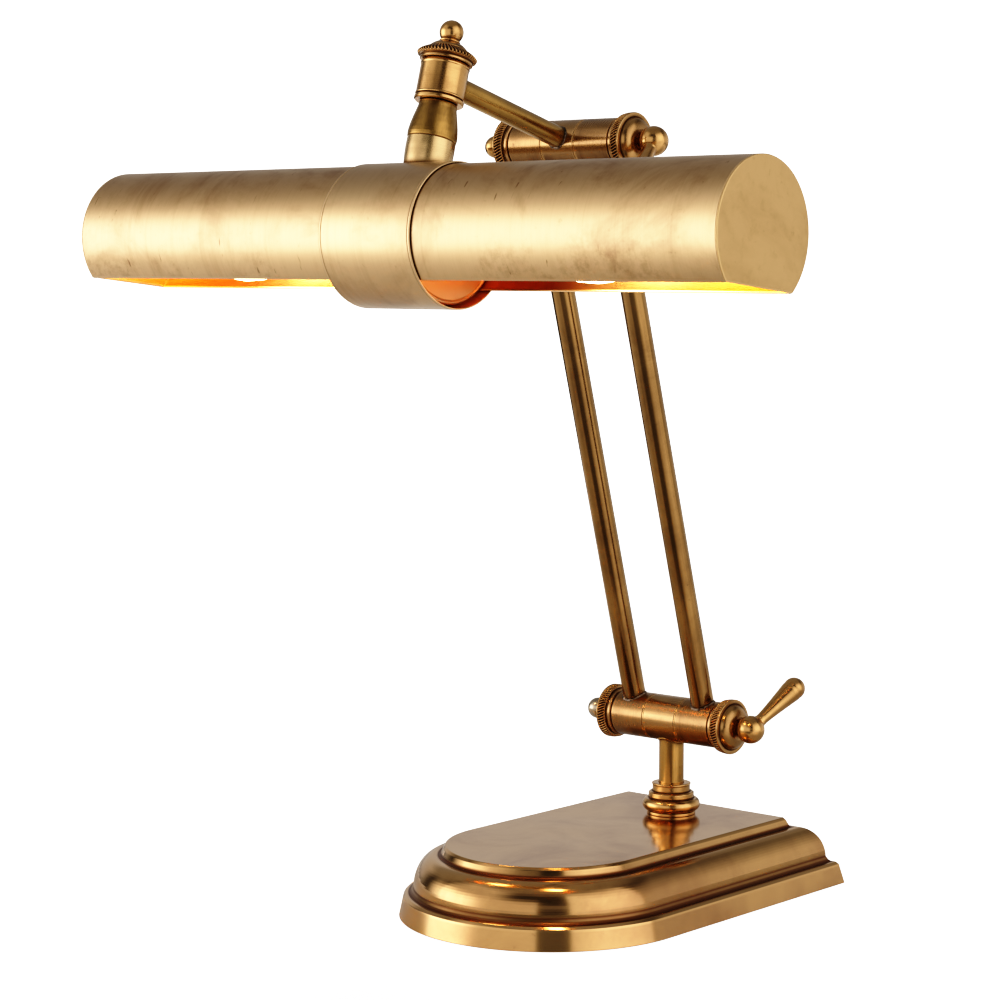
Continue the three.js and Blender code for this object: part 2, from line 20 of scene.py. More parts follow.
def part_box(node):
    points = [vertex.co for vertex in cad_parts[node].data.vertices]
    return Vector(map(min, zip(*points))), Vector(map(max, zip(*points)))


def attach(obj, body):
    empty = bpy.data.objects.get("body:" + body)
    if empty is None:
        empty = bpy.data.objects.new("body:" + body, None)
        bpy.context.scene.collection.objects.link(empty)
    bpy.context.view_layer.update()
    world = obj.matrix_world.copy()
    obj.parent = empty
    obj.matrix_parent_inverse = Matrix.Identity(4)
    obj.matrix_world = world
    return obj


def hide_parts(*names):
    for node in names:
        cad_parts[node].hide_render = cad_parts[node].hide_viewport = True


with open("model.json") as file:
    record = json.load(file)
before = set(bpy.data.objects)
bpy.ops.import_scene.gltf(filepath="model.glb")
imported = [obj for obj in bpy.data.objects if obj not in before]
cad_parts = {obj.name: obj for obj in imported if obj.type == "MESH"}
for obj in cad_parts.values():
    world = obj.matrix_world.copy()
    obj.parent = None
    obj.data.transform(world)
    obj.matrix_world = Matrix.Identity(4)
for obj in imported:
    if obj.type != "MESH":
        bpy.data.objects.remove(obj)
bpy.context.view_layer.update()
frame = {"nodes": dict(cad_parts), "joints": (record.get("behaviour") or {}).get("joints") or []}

MM = 0.001
JOINTS = {joint["name"]: joint for joint in frame["joints"]}
X_AXIS = Vector((1, 0, 0))
Z_AXIS = Vector((0, 0, 1))

# ---- local frames


def local_frame(origin, z_axis, x_axis):
    """A frame at origin, in metres, with its Z along z_axis and its X near x_axis."""
    z = Vector(z_axis).normalized()
    x = Vector(x_axis) - z * z.dot(Vector(x_axis))
    x.normalize()
    matrix = Matrix((x, z.cross(x), z)).transposed().to_4x4()
    matrix.translation = origin
    return matrix


def side_axis(side):
    """The direction from the lamp's middle out to its left or right side."""
    return -X_AXIS if side == "left" else X_AXIS


def joint_position(name):
    return Vector(JOINTS[name]["pos_m"])


def node_points(node, place):
    """A CAD node's vertices in a local frame, in millimetres."""
    points = np.array([vertex.co for vertex in frame["nodes"][node].data.vertices])
    into = np.array(place.inverted())
    return (points @ into[:3, :3].T + into[:3, 3]) / MM


def extent(node, place):
    """A CAD node's lowest and highest corners in a local frame, in millimetres."""
    points = node_points(node, place)
    return points.min(axis=0), points.max(axis=0)


# ---- outlines and relief


def arc(centre, reach, start, end, steps=8):
    """Points [along, across] on an arc; at 0 degrees it points across, at 90 along."""
    angles = np.radians(np.linspace(start, end, steps + 1))
    return [
        (centre[0] + reach[0] * math.sin(a), centre[1] + reach[1] * math.cos(a))
        for a in angles
    ]


def softened(points, radius, closed):
    """The outline with each sharp corner rounded, as a buffed metal edge is."""
    points = [np.array(point, float) for point in points]
    result = []
    for i, point in enumerate(points):
        if not closed and i in (0, len(points) - 1):
            result.append(point)
            continue
        back = points[i - 1] - point
        ahead = points[(i + 1) % len(points)] - point
        room = min(np.linalg.norm(back), np.linalg.norm(ahead))
        back = back / np.linalg.norm(back)
        ahead = ahead / np.linalg.norm(ahead)
        turn = math.acos(np.clip(-back @ ahead, -1, 1))
        if turn < math.radians(18):
            result.append(point)
            continue
        reach = min(radius * math.tan(turn / 2), 0.42 * room)
        start, end = point + back * reach, point + ahead * reach
        for t in np.linspace(0, 1, 5):
            result.append((1 - t) ** 2 * start + 2 * t * (1 - t) * point + t**2 * end)
    return result


def graded(points, closed, nearest=0.15, growth=2.2):
    """The outline with extra points on long stretches, close together near their ends."""
    result = []
    count = len(points)
    for i in range(count if closed else count - 1):
        start, end = points[i], points[(i + 1) % count]
        length = np.linalg.norm(end - start)
        offsets, reach = [], nearest
        while reach < length / 2.2:
            offsets.append(reach)
            reach *= growth
        places = [0.0] + offsets + [length - offset for offset in reversed(offsets)]
        result += [start + (end - start) * place / max(length, 1e-9) for place in places]
    if not closed:
        result.append(points[-1])
    return np.array(result)


def relief_of(points, closed, blur=0.7, step=0.1):
    """How far each point of an outline stands out of the outline smoothed by blur."""
    ring = np.vstack([points, points[:1]]) if closed else points
    lengths = np.linalg.norm(np.diff(ring, axis=0), axis=1)
    walked = np.concatenate([[0.0], np.cumsum(lengths)])
    dense = np.arange(0, walked[-1], step)
    track = np.stack([np.interp(dense, walked, ring[:, k]) for k in (0, 1)], axis=1)
    window = np.exp(-0.5 * (np.arange(-30, 31) * step / blur) ** 2)
    window /= window.sum()
    if closed:
        padded = np.pad(track, ((30, 30), (0, 0)), mode="wrap")
    else:
        padded = np.pad(track, ((30, 30), (0, 0)), mode="reflect", reflect_type="odd")
    smooth = np.stack([np.convolve(padded[:, k], window, mode="valid") for k in (0, 1)], axis=1)
    tangent = np.gradient(smooth, axis=0)
    normal = np.stack([-tangent[:, 1], tangent[:, 0]], axis=1)
    normal /= np.maximum(np.linalg.norm(normal, axis=1, keepdims=True), 1e-9)
    standing = ((track - smooth) * normal).sum(axis=1)
    return np.interp(walked[: len(points)], dense, standing)


# ---- shapes


def circle(radius, angles, height):
    """Points round Z at these angles; radius and height are one number or one for each."""
    x, y = radius * np.cos(angles), radius * np.sin(angles)
    return np.stack([x, y, height + 0 * x], axis=1)


class Shape:
    """The vertices, faces, relief and material numbers of one piece, in millimetres."""

    def __init__(self, rings, relief, closed_along=False, capped=False, slot=0):
        """Joins rings of points, each listed anticlockwise seen from the ring after it."""
        rings = np.array(rings)
        rows, count = rings.shape[:2]
        self.points = rings.reshape(-1, 3).tolist()
        self.faces = []
        for k in range(rows if closed_along else rows - 1):
            low, high = k * count, ((k + 1) % rows) * count
            for i in range(count):
                j = (i + 1) % count
                self.faces.append((low + i, low + j, high + j, high + i))
        if capped:
            self.faces.append(tuple(range(count - 1, -1, -1)))
            self.faces.append(tuple((rows - 1) * count + i for i in range(count)))
        relief = np.array(relief, float)
        if relief.ndim == 1:
            relief = np.repeat(relief, count)
        self.relief = relief.reshape(-1).tolist()
        self.slots = [slot] * len(self.faces)

    def join(self, other):
        first = len(self.points)
        self.points += other.points
        self.faces += [tuple(first + corner for corner in face) for face in other.faces]
        self.relief += other.relief
        self.slots += other.slots

    def paint(self, slot, chosen):
        """Gives a material number to the faces whose corners all pass a test of x, y, z."""
        for face, corners in enumerate(self.faces):
            if all(chosen(*self.points[corner]) for corner in corners):
                self.slots[face] = slot


def turned(profile, soft=0.25, around=112):
    """A turned body from its profile [along, radius]: a ring, unless it starts on the axis."""
    closed = profile[0][1] > 0
    outline = graded(softened(profile, soft, closed), closed)
    angles = np.linspace(0, 2 * math.pi, around, endpoint=False)
    rings = [circle(radius, angles, along) for along, radius in outline]
    return Shape(rings, relief_of(outline, closed), closed_along=closed)


def make_piece(name, shape, place, body, materials, nodes):
    """Adds a piece that rides on body and stands for CAD nodes."""
    local = np.array(shape.points) * MM
    turn = np.array(place)
    mesh = bpy.data.meshes.new(name)
    mesh.from_pydata((local @ turn[:3, :3].T + turn[:3, 3]).tolist(), [], shape.faces)
    relief = mesh.attributes.new("relief", "FLOAT", "POINT")
    relief.data.foreach_set("value", shape.relief)
    coords = mesh.attributes.new("local", "FLOAT_VECTOR", "POINT")
    coords.data.foreach_set("vector", local.ravel())
    mesh.polygons.foreach_set("material_index", shape.slots)
    mesh.polygons.foreach_set("use_smooth", [True] * len(mesh.polygons))
    for material in materials:
        mesh.materials.append(material)

    clean = bmesh.new()
    clean.from_mesh(mesh)
    bmesh.ops.remove_doubles(clean, verts=clean.verts, dist=1e-6)
    bmesh.ops.dissolve_degenerate(clean, edges=clean.edges, dist=1e-7)
    bmesh.ops.recalc_face_normals(clean, faces=clean.faces)
    clean.to_mesh(mesh)
    clean.free()

    piece = bpy.data.objects.new(name, mesh)
    bpy.context.scene.collection.objects.link(piece)
    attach(piece, body)
    if nodes:
        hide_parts(*nodes)


# ---- materials


def colour(code):
    """A linear colour from the sRGB code that it is seen as."""
    values = [int(code[i : i + 2], 16) / 255 for i in (1, 3, 5)]
    linear = [v / 12.92 if v <= 0.04045 else ((v + 0.055) / 1.055) ** 2.4 for v in values]
    return (*linear, 1.0)


class Graph:
    """A node tree of a material or world, with a short call for each kind of node."""

    def __init__(self, owner, shader="Principled BSDF", coords="Object"):
        owner.use_nodes = True
        self.tree = owner.node_tree
        self.shader = self.tree.nodes[shader]
        if coords == "local":
            self.coords = self.attribute("local", "Vector")
        else:
            self.coords = self.tree.nodes.new("ShaderNodeTexCoord").outputs[coords]

    def connect(self, value, socket):
        if isinstance(value, bpy.types.NodeSocket):
            self.tree.links.new(value, socket)
        else:
            socket.default_value = value

    def set(self, **values):
        """Sets the shader's sockets; a socket's name has _ for each space."""
        for name, value in values.items():
            self.connect(value, self.shader.inputs[name.replace("_", " ")])

    def math(self, operation, a, b=0.0, clamp=False):
        node = self.tree.nodes.new("ShaderNodeMath")
        node.operation = operation
        node.use_clamp = clamp
        self.connect(a, node.inputs[0])
        self.connect(b, node.inputs[1])
        return node.outputs[0]

    def times(self, a, b):
        return self.math("MULTIPLY", a, b)

    def plus(self, a, b):
        return self.math("ADD", a, b)

    def noise(self, scale, detail=3.0, roughness=0.55, distortion=0.0):
        """Noise from 0 to 1, with scale in features for each metre, or one for each axis."""
        coords = self.coords
        if isinstance(scale, tuple):
            mapping = self.tree.nodes.new("ShaderNodeMapping")
            self.connect(coords, mapping.inputs["Vector"])
            mapping.inputs["Scale"].default_value = scale
            coords, scale = mapping.outputs[0], 1.0
        node = self.tree.nodes.new("ShaderNodeTexNoise")
        self.connect(coords, node.inputs["Vector"])
        node.inputs["Scale"].default_value = scale
        node.inputs["Detail"].default_value = detail
        node.inputs["Roughness"].default_value = roughness
        node.inputs["Distortion"].default_value = distortion
        return node.outputs[0]

    def voronoi(self, scale):
        node = self.tree.nodes.new("ShaderNodeTexVoronoi")
        self.connect(self.coords, node.inputs["Vector"])
        node.inputs["Scale"].default_value = scale
        return node.outputs["Distance"]

    def range(self, value, low, high, to_low=0.0, to_high=1.0):
        """value, mapped smoothly from low..high to to_low..to_high and held outside."""
        node = self.tree.nodes.new("ShaderNodeMapRange")
        node.interpolation_type = "SMOOTHSTEP"
        self.connect(value, node.inputs["Value"])
        for name, number in zip(("From Min", "From Max", "To Min", "To Max"),
                                (low, high, to_low, to_high)):
            node.inputs[name].default_value = number
        return node.outputs[0]

    def mix(self, factor, a, b):
        node = self.tree.nodes.new("ShaderNodeMix")
        node.data_type = "RGBA"
        self.connect(factor, node.inputs["Factor"])
        self.connect(a, node.inputs[6])
        self.connect(b, node.inputs[7])
        return node.outputs[2]

    def attribute(self, name, output="Fac"):
        node = self.tree.nodes.new("ShaderNodeAttribute")
        node.attribute_name = name
        return node.outputs[output]

    def parts(self, vector=None):
        """The X, Y and Z of a vector, or of the coordinates."""
        node = self.tree.nodes.new("ShaderNodeSeparateXYZ")
        self.connect(vector or self.coords, node.inputs[0])
        return tuple(node.outputs)

    def window(self, value, low, high, soft):
        """1 where value lies from low to high, falling to 0 across soft on both sides."""
        rise = self.range(value, low - soft, low + soft)
        return self.times(rise, self.range(value, high - soft, high + soft, 1.0, 0.0))

    def camera_ray(self):
        return self.tree.nodes.new("ShaderNodeLightPath").outputs["Is Camera Ray"]

    def bump(self, height, distance, below=None):
        node = self.tree.nodes.new("ShaderNodeBump")
        node.inputs["Distance"].default_value = distance
        self.connect(height, node.inputs["Height"])
        if below is not None:
            self.tree.links.new(below, node.inputs["Normal"])
        return node.outputs[0]


# How many lines and streaks there are for each metre, across the polishing and along it.
AROUND = (55.0, 55.0, 2400.0)
ALONG = (1800.0, 1800.0, 40.0)
EVEN = (160.0, 160.0, 160.0)


def painted_top_shade(g):
    """Painted shade: brown cover that darkens the top of the head, as the dim light above it does.
    """
    return g.range(g.parts()[0], 0.006, 0.022, 0.0, 0.45)


def shade_marks(g):
    """What handling left on the shades: smudges near the lower edge, rings and scratches; and
    painted shade along the top.
    """
    up = g.parts()[0]
    low = g.range(up, 0.002, -0.021, 0.25, 1.0)
    patches = g.range(g.noise(30.0, detail=2.0), 0.45, 0.62)
    smudge = g.range(g.noise(190.0, detail=7.0, roughness=0.72), 0.42, 0.66)
    marks = g.times(g.times(low, smudge), g.times(patches, 0.4))
    drops = g.window(g.voronoi(28.0), 0.27, 0.31, 0.025)
    rare = g.range(g.noise(11.0, detail=1.0), 0.54, 0.62)
    worn = g.times(g.times(drops, rare), smudge)
    marks = g.plus(marks, g.times(worn, 0.6))
    scratch = g.range(g.noise((95.0, 95.0, 520.0), detail=2.0, distortion=0.3), 0.70, 0.77)
    marks = g.plus(marks, g.times(scratch, 0.8))
    return g.plus(marks, painted_top_shade(g))


def painted_bounce_orange(g):
    """Painted light: an orange tint on the lining past the bulb's tip, the deeper colour of light
    that has bounced more to reach it.
    """
    return g.range(g.parts()[2], 0.100, 0.135, 0.0, 0.33)


def painted_red_reflection(g):
    """Painted reflection: a copper-red tint on the lining near the lampholder, standing in for the
    dim red bulkhead mirrored there.
    """
    return g.range(g.parts()[2], 0.105, 0.055, 0.0, 0.88)


def painted_underside_shade(g):
    """Painted shade: brown cover, broken up, that darkens the under half of a barrel like the dark
    it mirrors from below.
    """
    up = g.parts()[0]
    under = g.range(up, 0.000, -0.010, 0.0, 0.75)
    broken = g.range(g.noise(55.0, detail=4.0), 0.30, 0.60, 0.5, 1.0)
    return g.times(under, broken)


def brass(name, metal, tarnish, rough, polish, lines=0.5, stain=0.5, wave=0.0, marks=None,
          lacquer=0.36, lacquer_rough=0.15, clouding=0.12):
    """Antique brass under lacquer: brown tarnish in clouds and grooves, bare worn edges; in hollows
    lowered only for it, that tarnish is painted shade.

    polish is the direction of the polishing lines, lines their strength, stain how much of
    the surface the tarnish takes, clouding how soft its clouds are, and wave how uneven the
    surface is.
    """
    material = bpy.data.materials.new(name)
    g = Graph(material, coords="local")
    metal, tarnish = colour(metal), colour(tarnish)
    clouds = g.noise(24.0, detail=6.0, roughness=0.62, distortion=0.6)
    flecks = g.noise(330.0, detail=3.0)
    grain = g.noise(polish, detail=4.0, roughness=0.65)
    smears = g.noise(tuple(s / 9 for s in polish), detail=3.0, distortion=0.3)
    relief = g.attribute("relief")
    hollow = g.range(relief, -0.02, -0.24)
    edge = g.range(relief, 0.05, 0.30)

    cover = g.times(g.range(clouds, 0.56 - clouding, 0.56 + clouding), stain)
    smeared = g.times(g.range(smears, 0.50, 0.80), 0.4 * stain)
    specks = g.times(g.range(flecks, 0.66, 0.78), 0.5 * stain)
    streaks = g.times(g.range(grain, 0.35, 0.75), 0.22 * lines)
    cover = g.plus(g.plus(cover, smeared), g.plus(specks, streaks))
    # marks adds more cover; some marks functions paint shade or light, as each one says.
    if marks:
        cover = g.plus(cover, marks(g))
    cover = g.math("SUBTRACT", cover, g.times(edge, 0.8), clamp=True)
    base = g.mix(cover, metal, tarnish)
    # Hollows take a darker tarnish: patina in real grooves, and painted shade where a piece's
    # relief was lowered only for it, as beside the centre band.
    grime_and_shade = tuple(share * c for share, c in zip((0.45, 0.34, 0.26), tarnish)) + (1.0,)
    base = g.mix(g.times(hollow, 0.9), base, grime_and_shade)
    bright = tuple(min(1.0, 1.12 * c + 0.03) for c in metal[:3]) + (1.0,)
    base = g.mix(g.times(edge, 0.6), base, bright)

    roughness = g.plus(rough, g.times(cover, 0.14))
    roughness = g.plus(roughness, g.times(hollow, 0.25))
    roughness = g.plus(roughness, g.range(grain, 0.2, 0.8, -0.05 * lines, 0.05 * lines))
    normal = g.bump(grain, 0.00003 * lines)
    if wave:
        normal = g.bump(g.noise(14.0, detail=1.0), 0.0006 * wave, below=normal)
    bare = g.math("MAXIMUM", hollow, g.times(cover, 0.5))
    g.set(Base_Color=base, Metallic=1.0, Roughness=roughness, Normal=normal,
          Coat_Weight=g.times(g.math("SUBTRACT", 1.0, bare), lacquer),
          Coat_IOR=1.75, Coat_Roughness=lacquer_rough)
    return material


def simple(name, code, rough, metallic=0.0, grain=400.0, depth=0.00005, spread=0.15):
    """A plain material whose colour, roughness and surface vary with a fine grain."""
    material = bpy.data.materials.new(name)
    g = Graph(material)
    tone = colour(code)
    fine = g.noise(grain, detail=4.0)
    broad = g.noise(grain / 12, detail=3.0)
    dark = tuple((1 - 2 * spread) * c for c in tone[:3]) + (1.0,)
    both = g.times(g.plus(fine, broad), 0.5)
    g.set(Base_Color=g.mix(g.range(both, 0.3, 0.7), dark, tone), Metallic=metallic,
          Roughness=g.range(fine, 0.2, 0.8, rough - 0.06, rough + 0.06),
          Normal=g.bump(fine, depth))
    return material


def lit_glass():
    """Opal bulb glass, lit from inside, and a little cloudy."""
    material = bpy.data.materials.new("lit_opal_glass")
    g = Graph(material)
    cloud = g.noise(60.0, detail=2.0)
    g.set(Base_Color=colour("#FFF4DC"), Roughness=0.25, Emission_Color=colour("#FFDCA0"),
          Emission_Strength=g.range(cloud, 0.2, 0.8, 21.0, 24.0))
    return material


SATIN = brass("satin_sheet", "#DFBA84", "#9A7044", 0.42, AROUND, lines=0.3, stain=0.42,
              marks=shade_marks, lacquer=1.0, lacquer_rough=0.33)
SATIN_BAND = brass("satin_band", "#DFBA84", "#9A7044", 0.38, AROUND, lines=0.3, stain=0.4,
                   marks=painted_top_shade, lacquer=1.0, lacquer_rough=0.33)
SATIN_TURNED = brass("satin_turned", "#DCB67A", "#8A6238", 0.26, AROUND, lines=0.3,
                     stain=0.4, lacquer=0.8, lacquer_rough=0.22)
SATIN_END = brass("satin_end", "#DAB478", "#A07A48", 0.48, ALONG, lines=0.1, stain=0.4,
                  lacquer=0.6, lacquer_rough=0.4, clouding=0.2)
# Its orange tarnish colour is also the painted light past the bulb's tip.
LINING = brass("shade_lining", "#E8C084", "#B8702F", 0.25, AROUND, lines=0.2, stain=0.1,
               marks=painted_bounce_orange)
# The right shade's lining: its copper-red tarnish colour is the painted reflection near the
# lampholder.
LINING_WITH_PAINTED_REFLECTION = brass("lining_with_painted_reflection", "#E8C084", "#9A4A30", 0.25, AROUND, lines=0.2,
                      stain=0.1, marks=painted_red_reflection)
# Painted light: the inside of the band is coloured red-orange for the dim red light that reaches it
# from the shades.
BAND_LINING_PAINTED_RED = brass("band_lining_painted_red", "#E08A62", "#8A3A20", 0.62, AROUND, lines=0.2, stain=0.3)
BULKHEAD = brass("bulkhead_copper", "#C49A6C", "#9A5A30", 0.50, AROUND, lines=0.3, stain=0.2)
AGED = brass("aged_barrel", "#B48854", "#4E2A14", 0.24, AROUND, lines=0.3, stain=0.8,
             marks=painted_underside_shade, lacquer=0.43, clouding=0.18)
AGED_LONG = brass("aged_centre", "#C0945E", "#5A3620", 0.23, ALONG, lines=0.6, stain=0.55,
                  marks=painted_underside_shade, lacquer=0.43, clouding=0.18)
AGED_RING = brass("aged_turning", "#C0945C", "#58321A", 0.22, AROUND, lines=0.4, stain=0.6,
                  clouding=0.18)
KNURL = brass("knurled_rim", "#BC8C54", "#3E200E", 0.26, AROUND, lines=0.0, stain=0.5)
GILT = brass("polished_turning", "#D4A466", "#704822", 0.20, AROUND, lines=0.35, stain=0.5)
STEM_BRASS = brass("drawn_stem", "#CC9C58", "#5E3A1A", 0.17, ALONG, lines=1.0, stain=0.5,
                   lacquer=0.29, clouding=0.18)
OLIVE = brass("olive_turning", "#AE8648", "#4E361C", 0.30, ALONG, lines=0.8, stain=0.6,
              lacquer=0.21)
BRONZE = brass("bronzed_tube", "#B08854", "#4A2E1C", 0.14, ALONG, lines=0.4, stain=0.6,
               lacquer=0.21, clouding=0.22)
BOOM_BRASS = brass("boom_tube", "#CCA05A", "#5C4020", 0.19, ALONG, lines=1.0, stain=0.5,
                   lacquer=0.21, clouding=0.2)
BASE = brass("polished_base", "#D2A46A", "#86523A", 0.13, EVEN, lines=0.1, stain=0.4, wave=1.0,
             lacquer_rough=0.08, clouding=0.2)
SILVERED = brass("worn_ball", "#CDBBA2", "#6E5640", 0.22, AROUND, lines=0.3, stain=0.7)
SOLDER = simple("solder", "#B09A88", 0.35, metallic=1.0, grain=900.0, spread=0.45)
FELT = simple("felt", "#2C4534", 0.95, grain=2600.0, depth=0.0004, spread=0.3)
IRON = simple("cast_iron", "#48484A", 0.7, metallic=0.7, depth=0.0003)
STEEL = simple("zinc_plate", "#B9B9BB", 0.32, metallic=1.0)
BLACK = simple("black_plastic", "#1E1C1A", 0.5)
HOLDER = simple("holder_plastic", "#5A4030", 0.45)
SLEEVE = simple("lead_sleeve", "#B7A688", 0.75, grain=1500.0, depth=0.0002)
GLASS = lit_glass()

# ---- base

BASE_PLACE = Matrix.Identity(4)
MOULDING_REACH = 21.2
SHELL_WALL = 1.5
CORNER = 0.9
STEM_HOLE = 6.3
STEM_BASE = Vector((0, JOINTS["lower_hinge"]["pos_m"][1], 0))


def spaced(length, nearest=0.4, growth=1.9):
    """Places along a stretch, from 0 up to its length, close together near both ends."""
    track = graded([np.array([0.0]), np.array([length])], False, nearest, growth)
    return track[:, 0]


def base_outline(outward, height):
    """The base's D shape, this far outside the top plate's edge, anticlockwise from above."""
    low, high = extent("base_shell", BASE_PLACE)
    half = high[0] - MOULDING_REACH + outward
    centre_y = low[1] + high[0]
    rear = high[1] - MOULDING_REACH + outward
    side = rear - CORNER - centre_y
    back = 2 * (half - CORNER)

    def bend(x, y, radius, turns):
        return [(x + radius * math.cos(a), y + radius * math.sin(a)) for a in np.radians(turns)]

    points = [(half, centre_y + y) for y in spaced(side)]
    points += bend(half - CORNER, rear - CORNER, CORNER, (15, 45, 75))
    points += [(half - CORNER - x, rear) for x in spaced(back)]
    points += bend(CORNER - half, rear - CORNER, CORNER, (105, 135, 165))
    points += [(-half, centre_y + side - y) for y in spaced(side)]
    points += bend(0, centre_y, half, np.linspace(180, 360, 121)[1:-1])
    return np.array([(x, y, height) for x, y in points])


def hole_ring(radius, height, outline):
    """A circle round the stem, with a point in the direction of each outline point."""
    stem_y = STEM_BASE.y / MM
    angles = np.arctan2(outline[:, 1] - stem_y, outline[:, 0])
    return circle(radius, angles, height) + (0, stem_y, 0)


def make_base():
    """The hollow shell, with an ovolo between two steps round its sides, and its felt."""
    shell_low, shell_high = extent("base_shell", BASE_PLACE)
    rim, top = shell_low[2], shell_high[2]
    reach = MOULDING_REACH
    outside = [
        (rim, reach), (10.0, reach - 2.0), (11.1, reach - 3.1), (11.3, 16.5), (12.4, 15.5),
        *arc((13.1, 4.6), (15.1, 10.1), 3, 90, 16),
        (28.3, 2.7), (28.9, 2.1), (31.8, 0.9), (top, 0.0),
    ]
    outline = graded(softened(outside, 0.55, False), False, nearest=0.25)
    relief = list(relief_of(outline, False, blur=1.4))
    rings = [base_outline(outward, height) for height, outward in outline]
    plate = base_outline(-0.6, top)
    hole = [(STEM_HOLE + 1.1, top), (STEM_HOLE + 0.1, top), (STEM_HOLE, top - 0.2),
            (STEM_HOLE, top - SHELL_WALL)]
    rings += [plate, *(hole_ring(radius, height, plate) for radius, height in hole)]
    inside = [(top - SHELL_WALL, -1.0), (27.3, 0.2), (25.5, 5.5), (21.5, 10.0), (12.6, 13.3),
              (9.6, reach - 2.2 - SHELL_WALL), (rim, reach - SHELL_WALL)]
    rings += [base_outline(outward, height) for height, outward in inside]
    relief += [0.0] * (len(rings) - len(relief))
    shape = Shape(rings, relief, closed_along=True)
    make_piece("base_casting", shape, BASE_PLACE, "base", [BASE], ["base_shell"])

    low, high = extent("base_felt", BASE_PLACE)
    shrink = high[0] - shell_high[0] + reach
    sides = [(low[2], shrink - 0.5), (low[2] + 0.4, shrink), (high[2] - 0.3, shrink),
             (high[2], shrink - 0.4)]
    felt = Shape([base_outline(outward, height) for height, outward in sides],
                 [0.0] * len(sides), capped=True)
    make_piece("felt_pad", felt, BASE_PLACE, "base", [FELT], ["base_felt"])


def make_gland():
    low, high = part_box("cable_gland")
    middle = (low + high) / 2
    place = local_frame(Vector((0, high.y, middle.z)), (0, 1, 0), X_AXIS)
    length = (high.y - low.y) / MM
    flange = (high.x - low.x) / 2 / MM
    gland = turned([(-length, 2.9), (-1.0, 2.9), (-1.0, flange), (-0.6, flange), (0, flange - 0.8),
                    (0, 2.6), (-0.5, 2.4), (-length, 2.4)], around=48, soft=0.2)
    make_piece("cable_bush", gland, place, "base", [BLACK], ["cable_gland"])


# ---- stem

STEM_PLACE = local_frame(STEM_BASE, Z_AXIS, X_AXIS)
BARREL_RADIUS = extent("lower_centre_barrel", STEM_PLACE)[1][1]


def seat_height(axis, seat_radius, radius, angles):
    """How far the seat's surface stands from its axis, at points round the tube."""
    across = radius * (np.sin(angles) if axis == "x" else np.cos(angles))
    return np.sqrt(np.maximum(seat_radius**2 - across**2, 0.0))


def seated_tube(radii, bore, start, end, start_seat=None, end_seat=None, around=64):
    """A tube along Z whose ends are flat, or are fitted onto a cylinder across them.

    radii lists [share of the length, outer radius]. A seat is the cylinder's axis, x or y,
    and its radius, and then start or end is the place of that axis.
    """
    angles = np.linspace(0, 2 * math.pi, around, endpoint=False)
    shares = np.concatenate([[0, 0.004, 0.012, 0.03, 0.06, 0.12], np.linspace(0.2, 0.8, 7),
                             [0.88, 0.94, 0.97, 0.988, 0.996, 1]])
    outer = np.interp(shares, [share for share, _ in radii], [radius for _, radius in radii])
    rows, relief = [], []
    for share, radius in [*zip(shares, outer), *((share, bore) for share in shares[::-1])]:
        bottom = start + (seat_height(*start_seat, radius, angles) if start_seat else 0.0)
        top = end - (seat_height(*end_seat, radius, angles) if end_seat else 0.0)
        height = bottom + (top - bottom) * share
        rows.append(circle(radius, angles, height))
        dark_low = np.exp(-(height - bottom) / 1.6) if start_seat else 0.0
        dark_high = np.exp(-(top - height) / 1.6) if end_seat else 0.0
        relief.append(-0.25 * (dark_low + dark_high) + 0.0 * angles)
    return Shape(rows, relief, closed_along=True)


def solder_ring(tube_radius, seat, level, direction, thickness=0.5, around=120):
    """An uneven bead of solder round a tube where it meets a cylinder."""
    angles = np.linspace(0, 2 * math.pi, around, endpoint=False)
    turns = np.linspace(0, 2 * math.pi, 10, endpoint=False)
    swell = (1 + 0.32 * np.sin(3 * angles + 1) + 0.22 * np.sin(8 * angles)
             + 0.16 * np.sin(19 * angles + 2))
    rings = []
    for turn in turns:
        radius = tube_radius + 0.15 + thickness * swell * math.cos(turn)
        rise = seat_height(*seat, radius, angles) + 0.1 + thickness * swell * math.sin(turn)
        rings.append(circle(radius, angles, level + direction * rise))
    return Shape(rings, np.zeros(len(rings)), closed_along=True)


def make_stem():
    low, high = extent("stem_collar", STEM_PLACE)
    foot, bore = low[2], 6.2
    collar = turned([(foot + height, radius) for height, radius in [
        (0, 11.6), (1.2, 11.6), (1.6, 11.0), *arc((4.7, 10.6), (3.2, 3.2), -68, 60, 14),
        (7.5, 10.9), (7.9, 10.5), (8.3, 10.9), (10.2, 10.9), (10.7, 10.3), (10.8, 9.3),
        (11.1, 9.0), (13.9, 9.0), (14.2, 9.35), (14.8, 9.35), (high[2] - foot, 8.5),
        (high[2] - foot, bore), (0, bore)]])
    make_piece("stem_collar_turned", collar, STEM_PLACE, "base", [GILT],
               ["stem_collar"])

    low, high = extent("stem_tube", STEM_PLACE)
    hinge = joint_position("lower_hinge").z / MM
    stem = seated_tube([(0, high[0]), (1, high[0])], high[0] - 2, low[2], hinge,
                       end_seat=("x", BARREL_RADIUS))
    stem.join(solder_ring(high[0], ("x", BARREL_RADIUS), hinge, -1, thickness=0.45))
    make_piece("stem_drawn", stem, STEM_PLACE, "base", [STEM_BRASS],
               ["stem_tube"])


# ---- hinges

HINGE_PLACE = local_frame(joint_position("lower_hinge"), X_AXIS, Z_AXIS)
FLANGE = 28.8
BARREL_END = 31.0
CAP_START = 31.2
KNURL_START = 31.8
KNURL_END = 35.6
KNURL_RADIUS = extent("lower_knurled_cap", HINGE_PLACE)[1][1]
KNURL_INSIDE = 10.9
RIDGES = 60
LIP_END = 36.5
SCREW_RADIUS = 2.9
SCREW_HOLE = SCREW_RADIUS + 0.3
BARREL_BORE = 6.2


